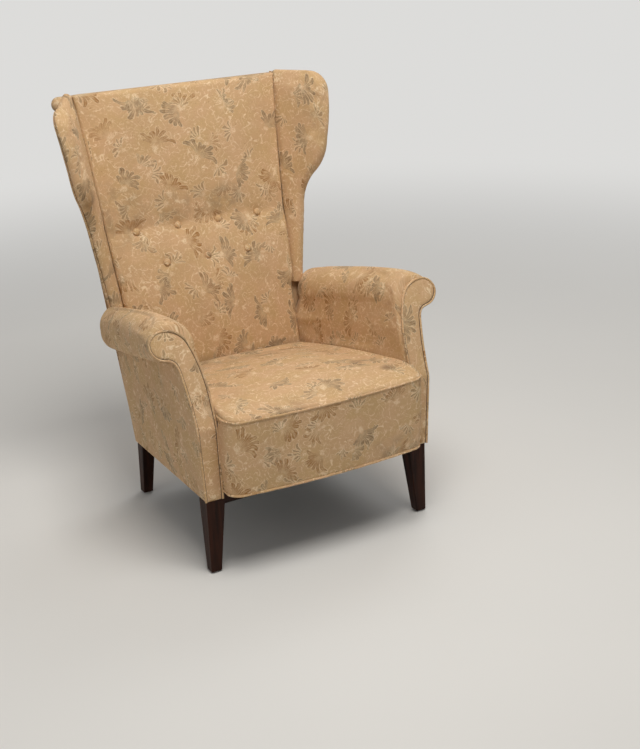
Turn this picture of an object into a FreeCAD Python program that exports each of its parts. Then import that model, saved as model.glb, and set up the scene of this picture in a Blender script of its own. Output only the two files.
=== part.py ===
import FreeCAD, Part
import math
import os

# High wingback easy chair with rolled arms, a sprung seat and a buttoned back.
# Millimetres. +Z is up, the chair faces -Y, +X is on the right seen from the front.
# The origin is on the floor, under the middle of the chair's outline.

V = FreeCAD.Vector

# Clearances
soft_gap = 0.3
hard_gap = 0.3
trim_gap = 0.5

# Upholstered base
facing_y = -334.0
base_front_z = 187.0
base_rear_z = 147.0
base_rear_y = 200.0
knee_z = 368.0
facing_lean_angle = 20.6
side_front_low = 306.0
side_front_knee = 314.0
side_rear_low = 268.0
arm_inside_front = 266.0
arm_inside_rear = 241.0
arm_inside_rear_y = 167.0
side_panel_thick = 4.0
arm_inside_draw = 3.0
side_timber = 20.0
facing_cover_thick = 6.0
facing_board_thick = 12.0
post_depth = 46.0
post_top_z = 505.0

# Back
back_lean_angle = 13.2
back_panel_thick = 4.0
back_panel_top_half = 306.0
stile_width = 24.0
stile_depth = 26.0
stile_top_z = 997.5
stile_top_outside = 292.6
back_rail_depth = 22.0
top_rail_height = 60.0
lower_rail_z = 236.0
lower_rail_height = 62.0
back_web_thick = 2.0
back_hessian_thick = 1.2
top_roll_radius = 20.0
top_roll_half = 334.0
top_roll_z = 1018.0
top_roll_forward = 14.0
back_panel_top_z = 1000.0
back_webs = 7
back_web_low_z = 330.0
back_web_pitch = 96.0

# Back cushion: height, front face at the middle, crown at the sides
back_pad_low_z = 318.0
back_lumbar = (
    (318.0, 165.0, 12.0),
    (400.0, 172.0, 20.0),
    (480.0, 186.0, 28.0),
    (560.0, 210.0, 26.0),
    (620.0, 238.0, 18.0),
    (662.0, 264.0, 10.0),
)
button_crease_z = 688.0
button_crease_y = 281.0
back_upper = (
    (716.0, 284.0, 9.0),
    (790.0, 297.0, 11.0),
    (880.0, 315.0, 12.0),
    (970.0, 334.0, 11.0),
    (1032.0, 350.0, 8.0),
)
back_corner = 16.0
button_lean_angle = 24.0
lower_button_y = 231.0
button_pitch = 118.0
button_radius = 10.0
button_height = 7.0
crease_crown = 6.0
upper_buttons = 4
lower_buttons = 3
lower_button_z = 607.0
tuft_radius = 26.0
tuft_depth = 7.0

# Seat
seat_rear_y = 163.0
seat_front_end_y = -362.0
seat_front_mid_y = -416.0
seat_front_corner_y = -402.0
seat_corner = 34.0
seat_low_z = 208.0
seat_welt_z = 394.0
seat_side_gap = 3.0
seat_lip_draw = 12.0
border_thick = 4.0
seat_pad_thick = 62.0
seat_crown = (
    (-430.0, 392.0, 4.0),
    (-392.0, 403.0, 6.0),
    (-340.0, 412.0, 12.0),
    (-213.0, 398.0, 20.0),
    (-76.0, 376.0, 22.0),
    (48.0, 354.0, 18.0),
    (190.0, 327.0, 8.0),
)
welt_radius = 2.6
piping_radius = 3.0
welt_proud = 2.0
welt_width = 5.0
seat_rail_thick = 22.0
seat_rail_height = 72.0
front_rail_low_z = 165.0
front_rail_high_z = 236.0

# Arm facing outline above the knee, as (x, z) of the ends and middles of its arcs
facing_outer_neck = ((317.0, 436.0), (326.0, 508.0))
facing_neck_fillet = ((333.0, 522.0), (350.0, 529.0))
facing_scroll_under = ((374.0, 539.0), (385.0, 562.0))
facing_scroll_top = ((372.0, 585.0), (345.0, 592.0))
facing_scroll_inner = ((313.0, 583.0), (290.0, 556.0))
facing_inner_neck = ((274.0, 503.0), (266.5, 440.0))

# Arm rolls: place along Y, outside edge, top, inside edge
roll_under_y = -261.0
roll_under_z = 519.0
roll_under_angle = 13.4
arm_roll = (
    (-300.0, 386.0, 590.0, 275.0),
    (-210.0, 381.0, 604.0, 265.0),
    (-120.0, 369.0, 594.0, 258.0),
    (-30.0, 358.0, 579.0, 252.0),
    (60.0, 347.0, 562.0, 248.0),
    (150.0, 336.0, 540.0, 246.0),
    (228.0, 322.0, 516.0, 268.0),
)
roll_under_inset = 32.0
roll_end_y = 266.0
roll_end_outside = 303.0
roll_end_top = 490.0
roll_end_inside = 282.0
arm_rail_height = 46.0

# Wing outline, as (depth below the top, reach forward) of the ends and middles of its arcs
wing_top_z = 1046.0
wing_bottom_z = 486.0
wing_bottom_reach = 44.0
wing_neck = (356.0, 66.0)
wing_neck_arc = (304.0, 79.0)
wing_throat = (262.0, 110.0)
wing_throat_arc = (220.0, 142.0)
wing_belly = (174.0, 155.0)
wing_belly_arc = (110.0, 165.5)
wing_corner = (46.0, 168.0)
wing_corner_arc = (13.0, 152.0)
wing_top = (0.0, 112.0)

# Wings
wing_flare_angle = 30.0
wing_root_low_z = 520.0
wing_root_low_inwards = 25.4
wing_root_low_backwards = 13.8
wing_root_top_z = 1020.0
wing_root_top_inwards = 0.4
wing_root_top_backwards = -0.5
wing_root_inside = 12.0
wing_rim_inside = 26.0
wing_outside = 24.0
wing_rim_roll = 17.0
wing_seam = 14.0
wing_board_thick = 12.0
wing_board_inset = 30.0
wing_back_reach = 22.0

# Legs
leg_setback = 2.5
front_leg_width = 48.0
front_leg_depth = 44.0
front_foot = 27.0
rear_leg_width = 36.0
rear_leg_depth = 36.0
rear_foot = 26.0
rear_leg_rake = 14.0
glide_radius = 9.0
glide_height = 3.0
bolt_radius = 4.0
bolt_into_leg = 60.0
bolt_into_block = 42.0
bolt_from_facing = 34.0
bolt_into_stile = 9.0
leg_cap = 12.0
rear_leg_forward = 12.0
block_height = 52.0
block_leg = 70.0

# Suspension
web_thick = 2.0
web_width = 50.0
webs_long = 5
webs_cross = 4
web_side_pitch = 65.0
web_rear_hold = 16.0
web_turn_up = 32.0
spring_columns = 3
spring_rows = 3
spring_end_radius = 42.0
spring_waist_radius = 30.0
spring_wire = 1.9
spring_turns = 5
spring_side_pitch = 130.0
spring_front_y = -220.0
spring_row_pitch = 120.0
hessian_thick = 1.2
dust_cover_thick = 0.8
dust_cover_hold = 9.0
cloth_margin = 2.0
leg_margin = 3.0
tack_radius = 4.0
tack_height = 1.2
tacks_side = 9
tacks_rear = 7
tack_inset = 5.0

HUGE = 3000.0


def slope(degrees):
    return math.tan(math.radians(degrees))


def base_z(y):
    """Underside of the upholstered base, which falls towards the back."""
    fall = (base_front_z - base_rear_z) / (base_rear_y - facing_y)
    return base_front_z - fall * (y - facing_y)


def back_y(z):
    """Outside face of the back."""
    return base_rear_y + slope(back_lean_angle) * (z - base_rear_z)


def under_roll_z(y):
    """Plane on which the arm rolls sit."""
    return roll_under_z - slope(roll_under_angle) * (y - roll_under_y)


def facing_front(z):
    """Front face of the arm facings, which lean back above the knee."""
    return facing_y + slope(facing_lean_angle) * max(0.0, z - knee_z)


def plane_through(a, b, c):
    """x as a linear function of y and z through three points."""
    normal = (b - a).cross(c - a)
    return lambda y, z: a.x - (normal.y * (y - a.y) + normal.z * (z - a.z)) / normal.x


outside = plane_through(
    V(side_front_low, facing_y, base_front_z),
    V(side_front_knee, facing_y, knee_z),
    V(side_rear_low, base_rear_y, base_rear_z),
)
inside = plane_through(
    V(arm_inside_front - arm_inside_draw, facing_y, base_front_z),
    V(arm_inside_front, facing_y, seat_welt_z),
    V(arm_inside_rear, arm_inside_rear_y, seat_welt_z),
)


def timber_out(y, z):
    return outside(y, z) - side_panel_thick - hard_gap


def timber_in(y, z):
    return timber_out(y, z) - side_timber


def minus(function):
    return lambda y, z: -function(y, z)


def shifted(function, step):
    return lambda y, z: function(y, z) + step


def solid_from(faces):
    return Part.makeSolid(Part.makeShell([Part.Face(Part.makePolygon(f + [f[0]])) for f in faces]))


def between(points, low, high):
    """Straight-sided block whose side view is points (y, z), from low(y, z) to high(y, z) in x."""
    near = [V(low(y, z), y, z) for y, z in points]
    far = [V(high(y, z), y, z) for y, z in points]
    n = len(points)
    sides = [[near[i], near[(i + 1) % n], far[(i + 1) % n], far[i]] for i in range(n)]
    return fixed(solid_from([near, far[::-1]] + sides))


def post(low, high):
    """Straight post between two upright-edged rectangles (x0, x1, y0, y1, z)."""
    rings = []
    for x0, x1, y0, y1, z in (low, high):
        rings.append([V(x0, y0, z), V(x1, y0, z), V(x1, y1, z), V(x0, y1, z)])
    a, b = rings
    sides = [[a[i], a[(i + 1) % 4], b[(i + 1) % 4], b[i]] for i in range(4)]
    return fixed(solid_from([a, b[::-1]] + sides))


def fixed(solid):
    if solid.Volume < 0:
        solid.reverse()
    return solid


def across(points, half):
    """Block with the side view points (y, z), from -half to +half in x."""
    return between(points, lambda y, z: -half, lambda y, z: half)


def half_space(point, normal):
    """Large block on the side of point that normal looks towards."""
    block = Part.makeBox(2 * HUGE, 2 * HUGE, HUGE, V(-HUGE, -HUGE, 0))
    block.Placement = FreeCAD.Placement(point, FreeCAD.Rotation(V(0, 0, 1), normal))
    return block


def largest(shape):
    return max(shape.Solids, key=lambda s: s.Volume)


def mirrored(shape):
    return shape.mirror(V(0, 0, 0), V(1, 0, 0))


def line(a, b):
    return Part.LineSegment(a, b).toShape()


def arc(a, b, c):
    return Part.Arc(a, b, c).toShape()


def group(shapes):
    return Part.makeCompound(shapes)


# Sub-assemblies are collected here by node name.
parts = {}


def both_sides(name, shape):
    """Adds the right-hand piece and its mirror image."""
    parts["right_" + name] = shape
    parts["left_" + name] = mirrored(shape)


# Side frames: front post, side seat rail and arm rail
post_front = facing_cover_thick + facing_board_thick + hard_gap
web_level = dust_cover_thick + soft_gap
cross_level = web_level + web_thick
rail_under = cross_level + web_thick + soft_gap


def above_base(offset):
    """Everything above the underside of the base, raised by offset."""
    return across([(-HUGE, base_z(-HUGE) + offset), (HUGE, base_z(HUGE) + offset),
                   (HUGE, HUGE), (-HUGE, HUGE)], HUGE)


def below_rolls(offset):
    """Everything below the plane of the arm rolls, lowered by offset."""
    return across([(-HUGE, under_roll_z(-HUGE) - offset), (HUGE, under_roll_z(HUGE) - offset),
                   (HUGE, -HUGE), (-HUGE, -HUGE)], HUGE)


def make_front_post():
    top = post_top_z
    lean = slope(facing_lean_angle)
    y0 = facing_y + post_front
    shape = between(
        [(y0, base_z(y0)), (y0 + post_depth, base_z(y0 + post_depth)),
         (y0 + post_depth, knee_z), (y0 + post_depth + lean * (top - knee_z), top),
         (y0 + lean * (top - knee_z), top), (y0, knee_z)],
        timber_in, timber_out)
    return shape.common(below_rolls(soft_gap))


def stile_front(z):
    return back_y(z) - back_panel_thick - hard_gap - stile_depth


def stile_outside(z):
    low = timber_out(base_rear_y, base_rear_z)
    return low + (stile_top_outside - low) * (z - base_rear_z) / (stile_top_z - base_rear_z)


def make_stile():
    rects = []
    for z in (base_rear_z - stile_depth, stile_top_z):
        x1 = stile_outside(z)
        rects.append((x1 - stile_width, x1, stile_front(z), stile_front(z) + stile_depth, z))
    return post(*rects).common(above_base(0.0))


def make_side_seat_rail():
    y0 = facing_y + post_front + post_depth
    z0 = base_z(y0) + rail_under
    z1 = base_z(stile_front(base_rear_z)) + rail_under
    z2 = z1 + seat_rail_height
    return between([(y0, z0), (stile_front(z1), z1), (stile_front(z2), z2), (y0, z0 + seat_rail_height)],
                   timber_in, timber_out)


def post_back(z):
    return facing_front(z) + post_front + post_depth


def along_rolls(drop, face):
    """Where a line parallel to the arm rolls, lowered by drop, meets face(z)."""
    y = face(knee_z)
    for _ in range(30):
        y = face(under_roll_z(y) - drop)
    return y, under_roll_z(y) - drop


def make_arm_rail(grow):
    high = soft_gap - grow
    low = soft_gap + arm_rail_height + grow

    def rear(z):
        return stile_front(z) - hard_gap + grow

    points = [along_rolls(low, post_back), along_rolls(low, rear),
              along_rolls(high, rear), along_rolls(high, post_back)]
    return between(points, shifted(timber_in, -grow), shifted(timber_out, grow))


both_sides("front_post", make_front_post())
both_sides("back_stile", make_stile())
both_sides("side_seat_rail", make_side_seat_rail())
both_sides("arm_rail", make_arm_rail(0.0))


# Legs, foot glides and the bolts that hold the legs
def make_leg(top, foot):
    """Tapered square leg cut off along the sloping underside of the base."""
    blank = post(foot + (glide_height,), top + (base_front_z + leg_cap,))
    return blank.cut(above_base(0.0))


front_out = side_front_low - leg_setback
front_face = facing_y + leg_setback
front_top = (front_out - front_leg_width, front_out, front_face, front_face + front_leg_depth)
front_low = (front_out - front_foot, front_out, front_face, front_face + front_foot)
rear_out = side_rear_low - leg_setback
rear_face = base_rear_y - rear_leg_forward
rear_top = (rear_out - rear_leg_width, rear_out, rear_face - rear_leg_depth, rear_face)
rear_low_y = rear_face - (rear_leg_depth - rear_foot) / 2.0 + rear_leg_rake
rear_low = (rear_out - rear_foot, rear_out, rear_low_y - rear_foot, rear_low_y)
front_bolt = (timber_in(facing_y, base_front_z) + side_timber / 2.0, facing_y + bolt_from_facing)
rear_bolt = (stile_outside(base_rear_z) - stile_width / 2.0, stile_front(base_rear_z) + bolt_into_stile)


def bolt_at(place, radius):
    x, y = place
    z = base_z(y)
    return Part.makeCylinder(radius, bolt_into_leg + bolt_into_block, V(x, y, z - bolt_into_leg))


def foot_centre(rect):
    return ((rect[0] + rect[1]) / 2.0, (rect[2] + rect[3]) / 2.0)


bolts = []
glides = []
for end, top, foot, place in (("front", front_top, front_low, front_bolt),
                              ("rear", rear_top, rear_low, rear_bolt)):
    bolt = bolt_at(place, bolt_radius)
    leg = make_leg(top, foot).cut(bolt)
    parts["right_" + end + "_leg"] = leg
    parts["left_" + end + "_leg"] = mirrored(leg)
    bolts += [bolt, mirrored(bolt)]
    cx, cy = foot_centre(foot)
    glide = Part.makeCylinder(glide_radius, glide_height, V(cx, cy, 0))
    glides += [glide, mirrored(glide)]
parts["leg_bolts"] = group(bolts)
parts["foot_glides"] = group(glides)
for side in ("left_", "right_"):
    for name in ("front_post", "back_stile", "side_seat_rail"):
        for bolt in bolts:
            parts[side + name] = parts[side + name].cut(bolt)

# Seat rails and corner blocks
front_rail_back = facing_y + post_front + seat_rail_thick


def wide(low, high):
    """Everything between two side planes, around the base and the arms."""
    front, rear = seat_front_mid_y, back_y(max(row[2] for row in arm_roll))
    top = max(row[2] for row in arm_roll)
    return between([(front, 0.0), (rear, 0.0), (rear, top), (front, top)], low, high)


frame_bay = wide(minus(timber_in), timber_in)


def leg_room(top, margin):
    """Space under the base that a leg takes, with a margin beside its top."""
    corner = V(top[0] - margin, top[2] - margin, -HUGE)
    size = (HUGE, top[3] - top[2] + 2 * margin, HUGE + base_front_z)
    return Part.makeBox(size[0], size[1], size[2], corner)


def make_front_rail():
    y0 = facing_y + post_front
    side = [(y0, front_rail_low_z), (front_rail_back, front_rail_low_z),
            (front_rail_back, front_rail_high_z), (y0, front_rail_high_z)]
    rail = between(side, minus(timber_in), timber_in)
    return rail.cut(leg_room(front_top, hard_gap)).cut(mirrored(leg_room(front_top, hard_gap)))


def make_back_seat_rail():
    z0 = base_z(stile_front(base_rear_z)) + web_level + web_thick + soft_gap
    z1 = z0 + seat_rail_height
    front = [stile_front(z) + 2.0 for z in (z0, z1)]
    side = [(front[0], z0), (front[0] + back_rail_depth, z0),
            (front[1] + back_rail_depth, z1), (front[1], z1)]
    return between_stiles(side)


def stile_inside(y, z):
    return stile_outside(z) - stile_width


def between_stiles(side):
    return between(side, minus(stile_inside), stile_inside)


def cross_rail(z0, height):
    z1 = z0 + height
    a, b = stile_front(z0), stile_front(z1)
    return between_stiles([(a, z0), (a + back_rail_depth, z0), (b + back_rail_depth, z1), (b, z1)])


parts["front_seat_rail"] = make_front_rail()
parts["back_seat_rail"] = make_back_seat_rail()
parts["lower_back_rail"] = cross_rail(lower_rail_z, lower_rail_height)
parts["top_back_rail"] = cross_rail(stile_top_z - top_rail_height, top_rail_height)


def make_corner_blocks():
    """Triangular blocks between the seat rails, one in each corner."""
    z_front = base_front_z + rail_under
    z_rear = base_z(stile_front(base_rear_z) - block_leg) + rail_under
    corners = ((timber_in(front_rail_back, z_front), front_rail_back, z_front, 1.0),
               (stile_outside(z_rear) - stile_width, stile_front(z_rear), z_rear, -1.0))
    blocks = []
    for x, y, z, turn in corners:
        brace = [V(x + block_leg, y, z), V(x - block_leg, y, z),
                 V(x + block_leg, y + 2 * turn * block_leg, z)]
        solid = Part.Face(Part.makePolygon(brace + [brace[0]])).extrude(V(0, 0, block_height))
        blocks.append(solid.common(frame_bay))
    return group(blocks + [mirrored(b) for b in blocks])


parts["corner_blocks"] = make_corner_blocks()


# Seat: front border, padding, welt and piping
def seat_half(y, z):
    return inside(y, z) - seat_side_gap


def seat_outline(z, inset, draw):
    """Plan outline of the seat: straight sides, rounded corners, bowed front."""
    rear = seat_half(seat_rear_y, z) - inset
    side = seat_half(seat_front_end_y, z) - inset
    end = V(side, seat_front_end_y, z)
    corner_y = seat_front_corner_y + inset + draw
    corner = V(side - seat_corner, corner_y, z)
    mid = V(side - 0.3 * seat_corner, corner_y + 0.3 * (seat_front_end_y - corner_y), z)
    front = V(0, seat_front_mid_y + inset + draw, z)

    def other(p):
        return V(-p.x, p.y, p.z)

    back = V(rear, seat_rear_y, z)
    return back, end, mid, corner, front, other(corner), other(mid), other(end), other(back)


def seat_wire(z, inset, draw):
    p = seat_outline(z, inset, draw)
    edges = [line(p[0], p[1]), arc(p[1], p[2], p[3]), arc(p[3], p[4], p[5]), arc(p[5], p[6], p[7]),
             line(p[7], p[8]), line(p[8], p[0])]
    return Part.Wire(edges)


def front_path(z, inset, draw, start_y):
    """Open wire round the front of the seat, for the welt and the piping."""
    p = seat_outline(z, inset, draw)
    t = (start_y - p[1].y) / (p[0].y - p[1].y)
    start = p[1] + (p[0] - p[1]) * t
    finish = V(-start.x, start.y, start.z)
    return Part.Wire([line(start, p[1]), arc(p[1], p[2], p[3]), arc(p[3], p[4], p[5]),
                      arc(p[5], p[6], p[7]), line(p[7], finish)])


def seat_block(inset):
    wires = [seat_wire(seat_low_z, inset, seat_lip_draw), seat_wire(seat_welt_z, inset, 0.0)]
    low = Part.makeLoft(wires, True, True)
    high = Part.Face(wires[1]).extrude(V(0, 0, seat_pad_thick))
    return low, high


def tube(path, radius):
    start = path.Vertexes[0].Point
    direction = path.Edges[0].tangentAt(path.Edges[0].FirstParameter)
    profile = Part.Wire(Part.makeCircle(radius, start, direction))
    return path.makePipeShell([profile], True, False)


def crown_body():
    """Space under the crowned top of the seat."""
    half = arm_inside_front + side_timber
    low = seat_low_z - seat_pad_thick
    wires = []
    for y, side_z, rise in seat_crown:
        a, b = V(half, y, low), V(half, y, side_z)
        c, d = V(-half, y, side_z), V(-half, y, low)
        wires.append(Part.Wire([line(a, b), arc(b, V(0, y, side_z + rise), c), line(c, d), line(d, a)]))
    return Part.makeLoft(wires, True, False)


def pad_under_z(y):
    """Flat underside of the seat's padding, along the seat's sloping sides."""
    (y0, z0, _), (y1, z1, _) = seat_crown[3], seat_crown[5]
    return z0 - seat_pad_thick + (z1 - z0) * (y - y0) / (y1 - y0)


stuffing_back = facing_y + post_front - soft_gap
low_outer, high_outer = seat_block(0.0)
low_inner = seat_block(border_thick + soft_gap)[0]
welt_start = facing_y + welt_width - 1.0
welt = tube(front_path(seat_welt_z, 0.0, 0.0, welt_start), welt_radius)
welt_room = tube(front_path(seat_welt_z, 0.0, 0.0, welt_start + 1.0), welt_radius + trim_gap)
piping_z = seat_low_z + 1.0
piping_start = facing_y - welt_proud - soft_gap
piping = tube(front_path(piping_z, 0.0, seat_lip_draw, piping_start), piping_radius)
piping_room = tube(front_path(piping_z, 0.0, seat_lip_draw, piping_start + 1.0), piping_radius + trim_gap)

border_rear = facing_y + facing_cover_thick
border_top = seat_welt_z - soft_gap
border_slab = across([(-HUGE, seat_low_z), (border_rear, seat_low_z), (border_rear, border_top),
                      (-HUGE, border_top)], HUGE)
border = low_outer.cut(low_inner).common(border_slab).cut(welt_room).cut(piping_room)
hollow = [(stuffing_back, -HUGE), (HUGE, -HUGE), (HUGE, pad_under_z(HUGE)),
          (stuffing_back, pad_under_z(stuffing_back))]
top_slice = across([(-HUGE, seat_welt_z), (HUGE, seat_welt_z), (HUGE, HUGE), (-HUGE, HUGE)], HUGE)
pad = low_inner.fuse(high_outer.common(top_slice)).common(crown_body()).cut(across(hollow, HUGE))
pad = pad.cut(welt_room).cut(piping_room).cut(border_slab.common(low_outer.cut(low_inner)))
parts["seat_pad"] = largest(pad)
parts["seat_front_border"] = largest(border)
parts["seat_front_welt"] = welt
parts["seat_front_piping"] = piping


# Arms: facing, welt, rolled pad, inside pad and outside panel
def bent_slab(start, end):
    """Slab that follows the leaning front of the arms, from start to end behind it."""
    rear = [(facing_front(z) + end, z) for z in (0.0, knee_z, HUGE)]
    front = [(facing_front(z) + start, z) for z in (HUGE, knee_z, 0.0)]
    return across(rear + front, HUGE)


def facing_face():
    def p(place):
        return V(place[0], facing_y, place[1])

    low_out = V(side_front_low, facing_y, base_front_z)
    knee = V(side_front_knee, facing_y, knee_z)
    low_in = V(arm_inside_front - arm_inside_draw, facing_y, base_front_z)
    edges = [line(low_out, knee)]
    last = knee
    for middle, end in (facing_outer_neck, facing_neck_fillet, facing_scroll_under,
                        facing_scroll_top, facing_scroll_inner, facing_inner_neck):
        edges.append(arc(last, p(middle), p(end)))
        last = p(end)
    edges += [line(last, low_in), line(low_in, low_out)]
    return Part.Face(Part.Wire(edges))


def front_prism(face):
    moved = face.copy()
    moved.translate(V(0, -HUGE / 2.0, 0))
    return moved.extrude(V(0, HUGE, 0))


def make_welt_ring():
    grown = facing_face().makeOffset2D(welt_proud)
    shrunk = facing_face().makeOffset2D(-welt_width + welt_proud)
    ring = front_prism(grown).cut(front_prism(shrunk))
    return ring.common(bent_slab(-welt_proud, welt_width - welt_proud)).common(above_welt_foot())


def above_welt_foot():
    z = base_front_z + 2.0
    return across([(-HUGE, z), (HUGE, z), (HUGE, HUGE), (-HUGE, HUGE)], HUGE)


def roll_wire(y, outer, top, inner, grow):
    """Section of the arm roll at y: flat underneath, round outside and on top."""
    low = under_roll_z(y) - grow
    outer += grow
    top += grow
    inner -= grow
    height = top - low
    inset = min(roll_under_inset, 0.5 * (outer - inner))
    under = outer - inset
    crest = inner + 0.56 * (outer - inner)
    shoulder = low + 0.30 * height
    points = [V(inner, y, low), V(inner, y, shoulder),
              V(inner + 0.16 * (crest - inner), y, low + 0.76 * height),
              V(crest, y, top), V(outer - 0.26 * (outer - crest), y, low + 0.83 * height),
              V(outer, y, low + 0.50 * height), V(outer - 0.3 * inset, y, low + 0.17 * height),
              V(under, y, low)]
    return Part.Wire([line(points[0], points[1]), arc(points[1], points[2], points[3]),
                      arc(points[3], points[4], points[5]), arc(points[5], points[6], points[7]),
                      line(points[7], points[0])])


def make_roll(grow):
    wires = [roll_wire(y, outer, top, inner, grow) for y, outer, top, inner in arm_roll]
    end = roll_wire(roll_end_y + grow, roll_end_outside, roll_end_top, roll_end_inside, grow)
    return Part.makeLoft(wires, True, False).fuse(Part.makeLoft([wires[-1], end], True, True))


def behind_facing(offset):
    edge = [(facing_front(z) + offset, z) for z in (0.0, knee_z, HUGE)]
    return across(edge + [(2 * HUGE, HUGE), (2 * HUGE, 0.0)], HUGE)


def before_back(offset):
    """Everything in front of the back's outside face, moved forward by offset."""
    edge = [(back_y(z) - offset, z) for z in (-HUGE, HUGE)]
    return across([(-HUGE, -HUGE), edge[0], edge[1], (-HUGE, HUGE)], HUGE)


def make_stile_room():
    rects = []
    for z in (base_rear_z - stile_depth, stile_top_z + soft_gap):
        x1 = stile_outside(z) + soft_gap
        y0 = stile_front(z) - soft_gap
        rects.append((x1 - stile_width - 2 * soft_gap, x1, y0, y0 + stile_depth + 2 * soft_gap, z))
    return post(*rects)


def make_top_roll(grow):
    """Rolled top edge of the back, with rounded ends behind the wings."""
    y = back_y(top_roll_z) - top_roll_forward
    straight = top_roll_half - top_roll_radius
    radius = top_roll_radius + grow
    bar = Part.makeCylinder(radius, 2 * straight, V(-straight, y, top_roll_z), V(1, 0, 0))
    for x in (-straight, straight):
        bar = bar.fuse(Part.makeSphere(radius, V(x, y, top_roll_z)))
    return largest(bar.removeSplitter())


def back_sheet(z0, z1, front, rear, half):
    """Sheet that leans with the back, front to rear measured forward from the stiles' front."""
    side = [(stile_front(z0) - front, z0), (stile_front(z0) - rear, z0),
            (stile_front(z1) - rear, z1), (stile_front(z1) - front, z1)]
    return between(side, minus(half), half)


stile_back = back_panel_thick + hard_gap
board_inset = side_panel_thick + hard_gap
stile_room = make_stile_room()
arm_rail_room = make_arm_rail(soft_gap)
top_roll_room = make_top_roll(soft_gap)
back_sheets_room = back_sheet(back_pad_low_z - soft_gap, stile_top_z + soft_gap,
                              back_web_thick + back_hessian_thick + 3 * soft_gap, -soft_gap,
                              shifted(stile_inside, stile_width / 2.0 + soft_gap))
facing_back = facing_cover_thick + facing_board_thick
welt_ring = make_welt_ring()
facing_prism = front_prism(facing_face())
cover = facing_prism.common(bent_slab(0.0, facing_cover_thick))
facing_behind = facing_cover_thick + soft_gap
board_prism = front_prism(facing_face().makeOffset2D(-board_inset))
board = board_prism.common(bent_slab(facing_cover_thick, facing_back)).common(above_base(0.0))
board_room = front_prism(facing_face().makeOffset2D(soft_gap - board_inset))
board_room = board_room.common(bent_slab(facing_cover_thick, facing_back + soft_gap))
both_sides("arm_facing", largest(cover.cut(welt_ring)))
both_sides("arm_facing_board", largest(board))
both_sides("facing_welt", largest(welt_ring))

roll = make_roll(0.0).common(behind_facing(facing_behind)).cut(board_room)
roll = roll.common(before_back(back_panel_thick + soft_gap)).cut(stile_room)
both_sides("arm_roll", largest(roll))


def make_inner_pad():
    block = above_base(rail_under + seat_rail_height)
    shape = wide(inside, shifted(timber_in, -soft_gap)).common(block).common(below_rolls(soft_gap))
    shape = shape.common(behind_facing(facing_behind))
    shape = shape.common(before_back(stile_back + stile_depth + soft_gap))
    return largest(shape.cut(back_sheets_room).cut(board_room))


def make_outer_panel():
    block = above_base(0.0)
    shape = wide(shifted(outside, -side_panel_thick), outside).common(block).common(below_rolls(soft_gap))
    shape = shape.common(behind_facing(facing_behind)).common(before_back(back_panel_thick + soft_gap))
    return largest(shape.cut(stile_room).cut(board_room))


both_sides("arm_inside_pad", make_inner_pad())
both_sides("outside_arm_panel", make_outer_panel())

# Wings
root_start = V(stile_outside(wing_root_low_z) - wing_root_low_inwards,
               stile_front(wing_root_low_z) + wing_root_low_backwards, wing_root_low_z)
root_end = V(stile_outside(wing_root_top_z) - wing_root_top_inwards,
             stile_front(wing_root_top_z) + wing_root_top_backwards, wing_root_top_z)
flare = math.radians(wing_flare_angle)
forward = V(math.sin(flare), -math.cos(flare), 0)
outward = V(math.cos(flare), math.sin(flare), 0)


def wing_point(z, reach, offset):
    """Point of the wing: height, reach forward from its root, offset outwards from its middle."""
    t = (z - wing_root_low_z) / (wing_root_top_z - wing_root_low_z)
    return root_start + (root_end - root_start) * t + forward * reach + outward * offset


def wing_wire(inset, offset):
    """Outline of the wing, drawn in by inset, at offset(reach) from its middle."""
    def p(z, reach):
        return wing_point(z, reach, offset(reach))

    def drawn(place, down, back):
        return p(wing_top_z - place[0] - down * inset, place[1] - back * inset)

    bottom = p(wing_bottom_z, wing_bottom_reach - inset)
    neck = drawn(wing_neck, 0.0, 1.0)
    throat = drawn(wing_throat, -0.7, 0.7)
    belly = drawn(wing_belly, 0.0, 1.0)
    corner = drawn(wing_corner, 0.0, 1.0)
    top = drawn(wing_top, 1.0, 0.4)
    root_high = p(wing_top_z - inset, -wing_back_reach)
    root_low = p(wing_bottom_z, -wing_back_reach)
    edges = [
        line(bottom, neck),
        arc(neck, drawn(wing_neck_arc, -0.4, 0.9), throat),
        arc(throat, drawn(wing_throat_arc, -0.3, 0.9), belly),
        arc(belly, drawn(wing_belly_arc, 0.0, 1.0), corner),
        arc(corner, drawn(wing_corner_arc, 0.7, 0.7), top),
        line(top, root_high),
        line(root_high, root_low),
        line(root_low, bottom),
    ]
    return Part.Wire(edges)


def inner_offset(share):
    swell = (wing_rim_inside - wing_root_inside) / wing_belly[1]
    return lambda reach: -share * (wing_root_inside + swell * reach)


def outer_offset(share):
    return lambda reach: share * wing_outside


def make_wing_body():
    rim = wing_rim_roll
    wires = [
        wing_wire(rim, inner_offset(1.0)),
        wing_wire(0.30 * rim, inner_offset(0.72)),
        wing_wire(0.0, inner_offset(0.2)),
        wing_wire(0.30 * rim, outer_offset(0.72)),
        wing_wire(rim, outer_offset(1.0)),
    ]
    return Part.makeLoft(wires, True, False)


def make_wing_board():
    start = wing_seam - wing_board_thick
    return Part.Face(wing_wire(wing_board_inset, lambda reach: start)).extrude(outward * wing_board_thick)


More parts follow.
